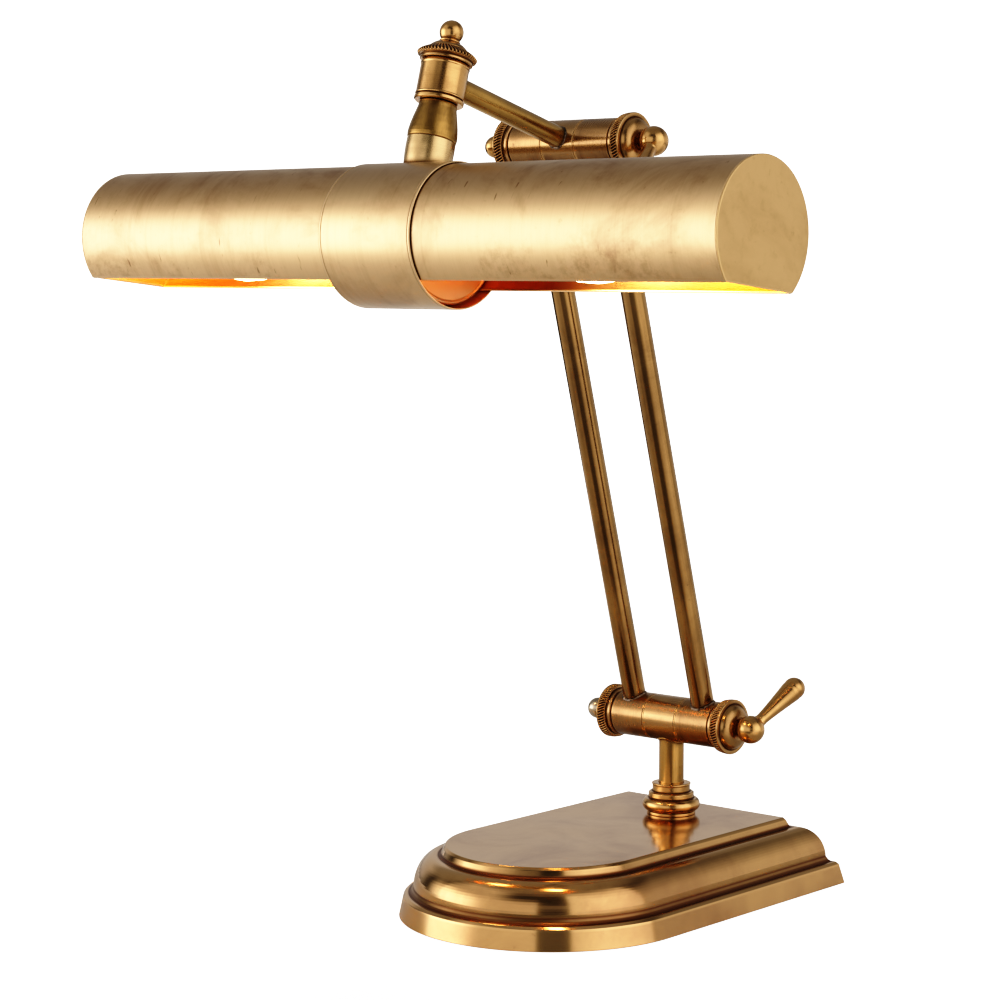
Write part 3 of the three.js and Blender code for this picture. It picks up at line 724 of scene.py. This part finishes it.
def knurled_ring(along, radii, inner, slot, ridges=RIDGES, slant=-1.7, depth=0.75):
    """A ring with slanting rope ridges between two places along it, closed inside."""
    steps = 8
    around = ridges * steps
    base_angles = np.linspace(0, 2 * math.pi, around, endpoint=False)
    phase = (np.arange(around) % steps) / steps
    groove = np.abs(np.cos(math.pi * phase)) ** 1.7
    rows, relief = [], []
    for share in np.linspace(0, 1, 9):
        z = along[0] + (along[1] - along[0]) * share
        radius = np.interp(share, np.linspace(0, 1, len(radii)), radii)
        fade = min(1.0, share / 0.10, (1 - share) / 0.09)
        angles = base_angles + slant * (share - 0.5) / radius
        dip = depth * fade * groove
        rows.append(circle(radius - dip, angles, z))
        relief.append(0.28 - 1.3 * dip)
    for z, share in ((along[1], 0.5), (along[0], -0.5)):
        rows.append(circle(inner, base_angles + share * slant / radius, z))
        relief.append(np.full(around, -0.3))
    return Shape(rows, relief, closed_along=True, slot=slot)


def knurled_cap():
    """The right-hand cap: knurled rim, smooth lip, groove and a bell with a sunk middle."""
    cap = turned([
        (CAP_START, 10.7), (KNURL_START - 0.05, 10.7), (KNURL_START, 11.0),
        (KNURL_END, 11.6), (KNURL_END, KNURL_RADIUS - 0.15),
        *arc((KNURL_END + 0.35, KNURL_RADIUS - 0.45), (0.45, 0.45), -50, 75, 6),
        (LIP_END - 0.1, 11.6), (LIP_END - 0.3, 10.9),
        *arc((LIP_END - 0.4, 5.2), (4.1, 5.4), 12, 88, 12),
        (LIP_END + 3.4, 4.4), (LIP_END + 2.4, SCREW_HOLE), (CAP_START, SCREW_HOLE),
    ], soft=0.18)
    rim = (KNURL_RADIUS - 0.5, KNURL_RADIUS - 0.1, KNURL_RADIUS)
    cap.join(knurled_ring((KNURL_START, KNURL_END), rim, KNURL_INSIDE, slot=1))
    return cap


def knurled_nut():
    """The left-hand nut: knurled rim, a hollow-sided cone, and a small ball."""
    end = extent("lower_knurled_nut", HINGE_PLACE)[0][2]
    ball_radius = 5.1
    ball = -end - ball_radius
    nut = turned([
        (40.4, 0), (40.4, SCREW_HOLE), (CAP_START, SCREW_HOLE), (CAP_START, 10.7),
        (KNURL_START - 0.05, 10.7), (KNURL_START, 11.0), (KNURL_END, 11.8),
        *arc((KNURL_END + 0.35, KNURL_RADIUS - 0.5), (0.45, 0.45), -60, 75, 6),
        (LIP_END, 10.6), *arc((42.2, 9.8), (5.2, 6.3), -84, -168, 12),
        *arc((ball, 0), (ball_radius, ball_radius), -44, 88, 20), (ball + ball_radius, 0),
    ], soft=0.18)
    nut.paint(1, lambda x, y, z: z > ball - ball_radius + 1.0)
    rim = (KNURL_RADIUS - 0.5, KNURL_RADIUS, KNURL_RADIUS - 0.1)
    nut.join(knurled_ring((KNURL_START, KNURL_END + 0.1), rim, KNURL_INSIDE, slot=2))
    return nut


def pivot_screw(middle, radius):
    """The clamping screw, whose ball is all that shows of it."""
    return turned([
        (-39.8, 0), (-39.8, SCREW_RADIUS), (middle - radius - 1.0, SCREW_RADIUS),
        (middle - radius - 0.6, 3.5), (middle - radius + 0.3, 3.6),
        *arc((middle, 0), (radius, radius), -52, 88, 26), (middle + radius, 0),
    ], around=80, soft=0.15)


def lever_rod(root, club, end):
    """A lever from its ball: a neck that swells in one sweep to a round club."""
    neck = 2.8
    centre = end - club
    sweep = [(root + (centre - 2.5 - root) * t, neck + (club - neck - 0.1) * t**1.25)
             for t in np.linspace(0, 1, 12)]
    return turned([(root - 0.8, 0), (root - 0.8, neck + 0.4), (root + 0.3, neck + 0.15), *sweep[1:],
                   *arc((centre, 0), (club, club), -12, 88, 16), (end, 0)], around=64, soft=0.2)


def side_barrel(inner_end):
    """A side barrel with a groove and a seat flange next to the knurled piece."""
    radius = BARREL_RADIUS
    return turned([
        (inner_end, radius - 0.15), (inner_end + 0.3, radius), (FLANGE - 0.4, radius),
        (FLANGE - 0.1, radius - 0.7), (FLANGE + 0.4, radius - 0.7), (FLANGE + 0.8, 11.25),
        (BARREL_END - 0.3, 11.25), (BARREL_END, 10.9), (BARREL_END, BARREL_BORE),
        (inner_end, BARREL_BORE),
    ], soft=0.16)


def make_hinge(prefix, centre_body):
    centre = joint_position(f"{prefix}_hinge")
    left, right = (local_frame(centre, side_axis(side), Z_AXIS) for side in ("left", "right"))
    clamp = f"{prefix}_clamp"

    inner = extent(f"{prefix}_right_barrel", right)[0][2]
    for side, place in (("left", left), ("right", right)):
        make_piece(f"{prefix}_{side}_barrel_turned", side_barrel(inner), place, "arms", [AGED],
                   [f"{prefix}_{side}_barrel"])

    end = extent(f"{prefix}_centre_barrel", right)[1][2]
    middle = turned([(-end, BARREL_RADIUS - 0.15), (0.3 - end, BARREL_RADIUS),
                     (end - 0.3, BARREL_RADIUS), (end, BARREL_RADIUS - 0.15),
                     (end, BARREL_BORE), (-end, BARREL_BORE)], soft=0.16)
    make_piece(f"{prefix}_centre_barrel_turned", middle, right, centre_body, [AGED_LONG],
               [f"{prefix}_centre_barrel"])

    for side, place in (("left", left), ("right", right)):
        node = f"{prefix}_{side}_washer"
        low, high = extent(node, place)
        start, end, radius = low[2], high[2], high[1]
        washer = turned([(start, radius - 0.1), (start + 0.12, radius), (end - 0.12, radius),
                         (end, radius - 0.1), (end, BARREL_BORE), (start, BARREL_BORE)],
                        soft=0.05)
        make_piece(f"{node}_brass", washer, place, "arms", [GILT], [node])

    ball_metal = SILVERED if prefix == "lower" else GILT
    make_piece(f"{prefix}_nut", knurled_nut(), left, "arms", [AGED_RING, ball_metal, KNURL],
               [f"{prefix}_knurled_nut"])
    make_piece(f"{prefix}_cap", knurled_cap(), right, "arms", [AGED_RING, KNURL],
               [f"{prefix}_knurled_cap"])

    ball_end = extent(f"{prefix}_pivot_screw", right)[1]
    ball_radius = ball_end[1]
    ball_centre = ball_end[2] - ball_radius
    make_piece(f"{prefix}_screw", pivot_screw(ball_centre, ball_radius), right, clamp, [GILT],
               [f"{prefix}_pivot_screw"])

    ball = centre + X_AXIS * ball_centre * MM
    lever_points = node_points(f"{prefix}_lever", Matrix.Translation(ball))
    far = lever_points[np.linalg.norm(lever_points, axis=1).argmax()]
    direction = Vector(lever_points.mean(axis=0)).lerp(Vector(far), 0.5)
    place = local_frame(ball, direction, X_AXIS)
    club, end = extent(f"{prefix}_lever", place)[1][1:]
    make_piece(f"{prefix}_lever_turned", lever_rod(ball_radius, club, end), place, clamp,
               [GILT], [f"{prefix}_lever"])


# ---- arms and boom

LOWER = joint_position("lower_hinge")
UPPER = joint_position("upper_hinge")
ARM_AXIS = (UPPER - LOWER).normalized()
NECK_ORIGIN = joint_position("head_swivel")
NECK_AXIS = Vector(JOINTS["head_swivel"]["axis"])


def make_arms():
    length = (UPPER - LOWER).length / MM
    barrel = ("x", BARREL_RADIUS)
    for side in ("left", "right"):
        low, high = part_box(f"{side}_arm")
        middle = Vector(((low.x + high.x) / 2, 0, 0))
        radius = (high.x - low.x) / 2 / MM
        place = local_frame(LOWER + middle, ARM_AXIS, X_AXIS)
        arm = seated_tube([(0, radius), (1, radius)], radius - 1.2, 0, length, barrel, barrel)
        make_piece(f"{side}_arm_drawn", arm, place, "arms", [BRONZE],
                   [f"{side}_arm"])
        beads = solder_ring(radius, barrel, 0, 1)
        beads.join(solder_ring(radius, barrel, length, -1))
        make_piece(f"{side}_arm_solder", beads, place, "arms", [SOLDER], [])


def make_boom():
    place = local_frame(UPPER, NECK_ORIGIN - UPPER, X_AXIS)
    length = (NECK_ORIGIN - UPPER).length / MM
    radius = extent("boom_tube", place)[1][0]
    neck_radius = extent("neck_body", NECK_PLACE)[1][0] - 0.3
    tube = seated_tube([(0, radius), (1, radius)], radius - 1.1, 0, length,
                       ("x", BARREL_RADIUS), ("y", neck_radius))
    make_piece("boom_drawn", tube, place, "boom", [BOOM_BRASS], ["boom_tube"])
    bead = solder_ring(radius, ("x", BARREL_RADIUS), 0, 1)
    make_piece("boom_solder", bead, place, "boom", [SOLDER], [])


# ---- neck

NECK_PLACE = local_frame(NECK_ORIGIN, NECK_AXIS, X_AXIS)


def make_neck():
    low, high = extent("neck_body", NECK_PLACE)
    bottom, top = low[2], high[2]
    groove = bottom + 1.9
    body = turned([
        (bottom, 10.2), (bottom + 0.5, 10.7), (groove - 0.3, 10.7), (groove, 10.3),
        (groove, 9.8), (groove + 0.5, 9.8), (groove + 0.6, 10.5), (groove + 1.0, 10.65),
        (groove + 1.4, 10.4), (5.6, 10.4), (6.0, 10.6), (6.4, 10.6), (top, 10.1),
        (top, 7.6), (-5.8, 7.6), (-5.8, 4.8), (bottom, 4.8),
    ], soft=0.2)
    make_piece("neck_body_turned", body, NECK_PLACE, "boom", [GILT],
               ["neck_body"])

    rim = extent("neck_cap", NECK_PLACE)[1][0]
    cap = turned([
        (5.0, 7.3), (7.7, 7.3), (7.7, 11.0), (8.0, 11.35), (8.7, 11.35), (9.1, 11.1),
        (9.5, 11.3), (9.9, 12.2), (9.9, 11.0), (13.2, 8.2), (13.6, 8.4), (14.0, 8.3),
        (14.8, 7.6), (15.6, 6.6), (16.2, 5.6), (16.6, 4.6), (16.7, 2.6), (5.0, 2.6),
    ], soft=0.15)
    cap.join(knurled_ring((9.9, 13.7), (rim - 0.4, rim, rim - 1.0, rim - 2.6, rim - 4.3), 8.0,
                          slot=1, ridges=50))
    make_piece("neck_cap_turned", cap, NECK_PLACE, "boom", [AGED_RING, KNURL],
               ["neck_cap"])

    high = extent("neck_finial", NECK_PLACE)[1] - 0.15
    radius, ball_top = high[0], high[2]
    finial = turned([(3.6, 0), (3.6, 2.1), (16.8, 2.1), (16.8, 4.4), (17.2, 4.6), (17.5, 4.3),
                     *arc((ball_top - radius, 0), (radius, radius), -40, 88, 24),
                     (ball_top, 0)], around=80, soft=0.15)
    make_piece("neck_finial_turned", finial, NECK_PLACE, "boom", [GILT],
               ["neck_finial"])

    low, high = extent("swivel_cone", NECK_PLACE)
    cone = turned([
        (low[2], 10.35), (low[2] + 0.3, 10.55), (-24.6, 10.7), (-23.0, 10.6), (-20.0, 10.15),
        (-17.0, 9.5), (-14.5, 8.85), (-12.4, 8.35), (high[2], 8.1), (high[2], 4.8),
        (low[2], 4.8),
    ], soft=0.3)
    make_piece("swivel_cone_turned", cone, NECK_PLACE, "head", [OLIVE],
               ["swivel_cone"])

    top = extent("neck_collar", NECK_PLACE)[1][2]
    drop = (joint_position("left_shade_turn") - NECK_ORIGIN).length / MM
    band_radius = extent("centre_band", HEAD_PLACE)[1][2]
    collar = seated_tube([(0, 10.0), (0.3, 10.35), (0.7, 10.5), (1, 10.4)], 4.8, -drop, top,
                         ("x", band_radius))
    make_piece("neck_collar_turned", collar, NECK_PLACE, "head", [SATIN_TURNED],
               ["neck_collar"])


# ---- head

HEAD_ORIGIN = joint_position("left_shade_turn")
HEAD_PLACE = local_frame(HEAD_ORIGIN, NECK_AXIS, X_AXIS)
MOUTH_TURN = math.radians(9.1)
MOUTH_NORMAL = Matrix.Rotation(MOUTH_TURN, 3, "X") @ NECK_AXIS
MOUTH_DROP = 20.6


def shade_place(side):
    """Z along the tube, away from the band, and X up, straight away from the mouth."""
    return local_frame(HEAD_ORIGIN, side_axis(side), MOUTH_NORMAL)


def mouth_arc(radius, drop, steps):
    """An open circle in local X-Y, from one edge of the mouth round to the other."""
    half = math.pi - math.acos(drop / radius)
    angles = np.linspace(-half, half, steps)
    return np.stack([radius * np.cos(angles), radius * np.sin(angles)], axis=1)


def make_shade(side):
    place = shade_place(side)
    lining = LINING_WITH_PAINTED_REFLECTION if side == "right" else LINING
    low, high = extent(f"{side}_shade", place)
    radius, wall = high[1], 0.8
    start, end = low[2], extent(f"{side}_end_cap", place)[0][2] + 0.02
    steps = 110
    outer = mouth_arc(radius, MOUTH_DROP, steps)
    inner = mouth_arc(radius - wall, MOUTH_DROP, steps)[::-1]
    lip_out = (outer[-1] * 0.7 + inner[0] * 0.3) - np.array([0.18, 0])
    lip_in = (outer[-1] * 0.3 + inner[0] * 0.7) - np.array([0.18, 0])
    mirror = np.array([1, -1])
    section = np.vstack([outer, [lip_out, lip_in], inner, [lip_in * mirror, lip_out * mirror]])
    arc_step = 0.045 * radius
    from_lip = np.minimum(np.arange(steps), np.arange(steps)[::-1]) * arc_step
    lip_relief = 0.22 * np.exp(-from_lip / 0.9)
    around = np.concatenate([lip_relief, [0.25, 0.25], lip_relief, [0.25, 0.25]])
    band_edge = extent("centre_band", place)[1][2]
    places = start + spaced(end - start, nearest=0.2, growth=1.8)
    beside_band = band_edge + np.array([-0.3, 0.0, 0.2, 0.45, 0.8, 1.3, 2.0])
    places = np.unique(np.concatenate([places[abs(places - band_edge) > 2.2], beside_band]))
    rings = [[(x, y, z) for x, y in section] for z in places]
    from_end = np.minimum(places - start, end - places)
    relief = np.maximum(around[None, :], 0.2 * np.exp(-from_end / 0.6)[:, None])
    # Painted shadow: relief lowered on the outside of the tube for 3 mm past the band's edge, so
    # the brass darkens a line there as the band's shade.
    grime_and_shade = 0.6 * np.exp(-np.maximum(places - band_edge, 0) / 0.45) * (places < band_edge + 3)
    relief[:, :steps] -= grime_and_shade[:, None]

    shape = Shape(rings, relief)
    count = len(section)
    half = steps + 1
    for face in range(len(shape.faces)):
        if half <= face % count < half + steps:
            shape.slots[face] = 1
    last = (len(places) - 1) * count
    for i in range(-1, steps):
        a, b = i % count, i + 1
        c, d = (2 * steps - i - 1) % count, (2 * steps - i) % count
        if len({a, b, c, d}) == 4:
            shape.faces += [(a, d, c, b), (last + a, last + b, last + c, last + d)]
            shape.slots += [0, 0]
    make_piece(f"{side}_shade_tube", shape, place, f"{side}_shade_half", [SATIN, lining],
               [f"{side}_shade"])


def mouth_outline(radius, drop, inset, height, steps=150):
    """The closed D section of a shade, drawn in by inset and with rounded corners."""
    outline = mouth_arc(radius - inset, drop - inset, steps)
    chord_end, chord_start = outline[-1], outline[0]
    chord = [chord_end + (chord_start - chord_end) * share
             for share in (0.004, 0.012, 0.04, 0.15, 0.5, 0.85, 0.96, 0.988, 0.996)]
    points = np.vstack([outline, chord])
    return np.array([(x, y, height) for x, y in points])


def make_end_cap(side):
    place = shade_place(side)
    low, high = extent(f"{side}_end_cap", place)
    radius = high[1]
    back, front = low[2], high[2]
    rings = [(1.2, back), (0.4, back), (0.1, back + 0.1), (0.0, back + 0.25),
             (0.0, front - 0.35), (0.08, front - 0.14), (0.3, front - 0.02), (0.6, front),
             (1.6, front)]
    shape = Shape([mouth_outline(radius, MOUTH_DROP, inset, z) for inset, z in rings],
                  [0, 0.1, 0.3, 0.3, 0.3, 0.32, 0.25, 0.08, 0], capped=True)
    shape.slots[-2] = 1
    make_piece(f"{side}_end_disc", shape, place, f"{side}_shade_half", [SATIN_END, LINING],
               [f"{side}_end_cap"])


def make_band():
    place = local_frame(HEAD_ORIGIN, X_AXIS, NECK_AXIS)
    high = extent("centre_band", place)[1]
    radius, half, wall = high[1] - 0.05, high[2], 0.6
    # A shallow groove near each edge of the band, whose hollow the brass darkens: a painted dark
    # line for the shade at the band's edges.
    groove = [(0.9, 0.0), (1.0, 0.2), (1.3, 0.2), (1.4, 0.0)]
    band = turned([(-half, radius - 0.35), (0.1 - half, radius - 0.1), (0.35 - half, radius),
                   *((along - half, radius - depth) for along, depth in groove),
                   *((half - along, radius - depth) for along, depth in reversed(groove)),
                   (half - 0.35, radius), (half - 0.1, radius - 0.1), (half, radius - 0.35),
                   (half, radius - wall), (-half, radius - wall)],
                  around=160, soft=0.15)
    band.paint(1, lambda x, y, z: math.hypot(x, y) < radius - wall + 0.05)
    make_piece("centre_band_rolled", band, place, "head", [SATIN_BAND, BAND_LINING_PAINTED_RED],
               ["centre_band"])


def make_bulkhead(side):
    place = local_frame(HEAD_ORIGIN, side_axis(side), NECK_AXIS)
    low, high = extent(f"{side}_bulkhead", place)
    face, radius, wall = high[2], high[1], 0.8
    cup = turned([(low[2], radius), (face - 0.9, radius), (face - 0.2, radius - 0.5),
                  (face, radius - 1.2), (face - 0.5, radius - 1.9), (face - 0.5, 4.9),
                  (face - wall - 0.5, 4.9), (face - wall - 0.5, radius - wall - 1),
                  (face - wall - 1, radius - wall), (low[2], radius - wall)],
                 around=160, soft=0.3)
    make_piece(f"{side}_bulkhead_pressed", cup, place, "head", [BULKHEAD],
               [f"{side}_bulkhead"])


def make_lamp(side):
    low, high = extent(f"{side}_lampholder", HEAD_PLACE)
    drop = (low[2] + high[2]) / 2
    place = local_frame(HEAD_ORIGIN + NECK_AXIS * drop * MM, side_axis(side), NECK_AXIS)
    low, high = extent(f"{side}_lampholder", place)
    start, end, radius = low[2], high[2], high[0]
    holder = turned([
        (start, 0), (start, 4.8), (22.0, 4.8), (22.0, radius - 1.5), (23.5, radius),
        (33.0, radius), (33.3, radius - 0.5), (34.0, radius - 0.5), (34.3, radius),
        (end - 8, radius), (end - 7.6, radius - 0.5), (end - 6.9, radius - 0.5),
        (end - 6.5, radius), (end - 1, radius), (end, radius - 1), (end, 7.2), (41, 7.2),
        (41, 0),
    ], around=80, soft=0.3)
    make_piece(f"{side}_holder", holder, place, "head", [HOLDER],
               [f"{side}_lampholder"])

    low, high = extent(f"{side}_bulb", place)
    tip, belly, cap_end = high[2], high[0], end
    glass = [(cap_end + 0.5, 7.2), (cap_end + 4, 8.6), (cap_end + 10, 12.0),
             (cap_end + 18, 15.3), (cap_end + 26, 17.0), (cap_end + 35, belly),
             (cap_end + 43, 16.6), (cap_end + 51, 14.2), (cap_end + 59, 10.4),
             (cap_end + 66, 6.3), (tip - 6.0, 3.2), (tip - 2.2, 1.5)]
    cap = [(low[2], 0), (low[2], 3.0), (low[2] + 3, 6.0)]
    for thread in range(5):
        cap += [(low[2] + 4.5 + 3 * thread, 6.7), (low[2] + 6.0 + 3 * thread, 6.2)]
    shape = turned([*cap, (cap_end, 6.5), *glass, (tip, 0)], around=80, soft=0.4)
    shape.paint(1, lambda x, y, z: z < cap_end + 0.3)
    make_piece(f"{side}_candle_bulb", shape, place, "head", [GLASS, STEEL],
               [f"{side}_bulb"])


# ---- pieces kept from the CAD

KEPT = [
    (IRON, ["base_weight"]),
    (STEEL, ["stem_washer", "stem_nut", "swivel_nipple", "swivel_lock_nut", "band_nut",
             "holder_bracket", "left_bulkhead_nut", "right_bulkhead_nut", "left_holder_nut",
             "right_holder_nut"]),
    (SLEEVE, ["base_lead", "arm_lead", "boom_lead", "left_holder_lead", "right_holder_lead"]),
]


def finish_kept_nodes():
    """Gives the CAD nodes that stay in the scene their materials."""
    for material, nodes in KEPT:
        for node in nodes:
            mesh = frame["nodes"][node].data
            mesh.materials.clear()
            mesh.materials.append(material)


# ---- studio

CAMERA_PLACE = Vector((0.7582, -0.9350, 0.2978))
CAMERA_YAW = math.radians(41.21)
CAMERA_PITCH = math.radians(5.224)


def make_camera():
    data = bpy.data.cameras.new("camera")
    data.lens = 94.5
    camera = bpy.data.objects.new("camera", data)
    camera.location = CAMERA_PLACE
    camera.rotation_euler = (math.pi / 2 - CAMERA_PITCH, 0, CAMERA_YAW)
    bpy.context.scene.collection.objects.link(camera)
    bpy.context.scene.camera = camera


# The light of the studio: azimuth from and to and its softness, elevation from and to and
# its softness, all in degrees, and radiance. Azimuth 0 is the camera's side, and + its right.
STUDIO_LIGHT = [
    ((-107, -11, 1.5), (-32, 28, 8), 0.85),
    ((-106, -46, 14), (28, 54, 9), 0.70),
    ((-114, -68, 14), (-20, 20, 10), 2.3),
    ((-11, 16, 3), (9, 20, 4), 0.20),
    ((16, 84, 2), (-32, 50, 10), 1.10),
    ((32, 76, 12), (-2, 36, 10), 0.55),
    ((84, 150, 8), (-12, 34, 14), 0.40),
    ((84, 150, 8), (-12, 18, 8), 0.24),
    ((162, 222, 10), (0, 24, 6), 0.47),
    ((150, 250, 15), (24, 50, 8), 0.24),
    ((-130, 130, 20), (50, 110, 10), 0.24),
    ((130, 230, 20), (50, 110, 10), 0.26),
]
DARK_STUDIO = 0.06
BACK_SEAM = -115.0  # azimuths to the left of this are counted on from 180
TABLE = 0.9  # half of its width, in metres
WHITE_STUDIO = 2.0  # what the camera sees of the studio
WHITE_TABLE = 1.5  # and of the table
# Cards on the table, past the base, that only the brass sees: azimuths as above.
CARDS_START = (0.14, 0.20)
GREY_CARD = (-40, 11, 8)
WHITE_CARD = (24, 70, 12)
CARD_GLOW = 0.45
TABLE_GLOW = (0.15, 0.9, 0.08, 0.55)  # two distances in metres, and the glow at each


def studio_azimuth(g):
    """How far round the studio from the camera's side, in degrees, and the height."""
    mapping = g.tree.nodes.new("ShaderNodeMapping")
    mapping.inputs["Rotation"].default_value = (0, 0, math.pi / 2 - CAMERA_YAW)
    g.connect(g.coords, mapping.inputs["Vector"])
    x, y, z = g.parts(mapping.outputs[0])
    return g.math("DEGREES", g.math("ARCTAN2", y, x)), z


def make_world():
    """A dark studio with two soft walls of light, parted where the camera looks through."""
    world = bpy.data.worlds.new("studio")
    bpy.context.scene.world = world
    g = Graph(world, shader="Background", coords="Generated")
    azimuth, z = studio_azimuth(g)
    behind = g.times(g.math("LESS_THAN", azimuth, BACK_SEAM), 360.0)
    around = g.plus(azimuth, behind)
    elevation = g.math("DEGREES", g.math("ARCSINE", z))
    light = DARK_STUDIO
    for side, height, radiance in STUDIO_LIGHT:
        across = g.window(around if side[1] > 180 else azimuth, *side)
        window = g.times(across, g.window(elevation, *height))
        light = g.plus(light, g.times(window, radiance))
    seen = g.math("MAXIMUM", light, g.times(g.camera_ray(), WHITE_STUDIO))
    g.set(Color=(1, 0.985, 0.96, 1), Strength=seen)


def make_floor():
    """A pale table, white to the camera. The brass also sees a grey and a white card on it."""
    mesh = bpy.data.meshes.new("floor")
    corners = [(x * TABLE, y * TABLE, 0) for x, y in ((-1, -1), (1, -1), (1, 1), (-1, 1))]
    mesh.from_pydata(corners, [], [(0, 1, 2, 3)])
    paper = bpy.data.materials.new("floor_paper")
    g = Graph(paper)
    distance = g.tree.nodes.new("ShaderNodeVectorMath")
    distance.operation = "LENGTH"
    g.connect(g.coords, distance.inputs[0])
    away = distance.outputs["Value"]
    azimuth = studio_azimuth(g)[0]
    clear = g.range(away, *CARDS_START)
    dark = g.times(g.window(azimuth, *GREY_CARD), clear)
    lit = g.times(g.window(azimuth, *WHITE_CARD), clear)
    glow = g.plus(g.range(away, *TABLE_GLOW), g.times(lit, CARD_GLOW))
    glow = g.times(glow, g.math("SUBTRACT", 1.0, g.times(dark, 0.5)))
    seen = g.math("MAXIMUM", glow, g.times(g.camera_ray(), WHITE_TABLE))
    g.set(Base_Color=g.mix(dark, colour("#C9C6C2"), colour("#5E5C5A")), Roughness=0.9,
          Specular_IOR_Level=0.1,
          Normal=g.bump(g.noise(900.0, detail=2.0), 0.00005),
          Emission_Color=(1, 1, 1, 1), Emission_Strength=seen)
    mesh.materials.append(paper)
    floor = bpy.data.objects.new("floor", mesh)
    bpy.context.scene.collection.objects.link(floor)


# Scene light and the light it is shown as: more contrast in the dark, and a shoulder that
# keeps colour in the highlights.
TONES = [(0.0, 0.0), (0.03, 0.010), (0.06, 0.030), (0.10, 0.068), (0.20, 0.180), (0.35, 0.355),
         (0.65, 0.67), (1.0, 0.91), (1.6, 1.0)]


def set_picture():
    """Plain colours, with the tones above."""
    view = bpy.context.scene.view_settings
    view.view_transform = "Standard"
    view.use_curve_mapping = True
    mapping = view.curve_mapping
    white = TONES[-1][0]
    mapping.white_level = (white, white, white)
    curve = mapping.curves[3]
    for light, shown in TONES[1:-1]:
        curve.points.new(light / white, shown)
    mapping.update()


# ---- the whole scene

make_camera()
make_base()
make_gland()
make_stem()
make_hinge("lower", "base")
make_hinge("upper", "boom")
make_arms()
make_boom()
make_neck()
make_band()
for side in ("left", "right"):
    make_shade(side)
    make_end_cap(side)
    make_bulkhead(side)
    make_lamp(side)
finish_kept_nodes()
make_world()
make_floor()
set_picture()
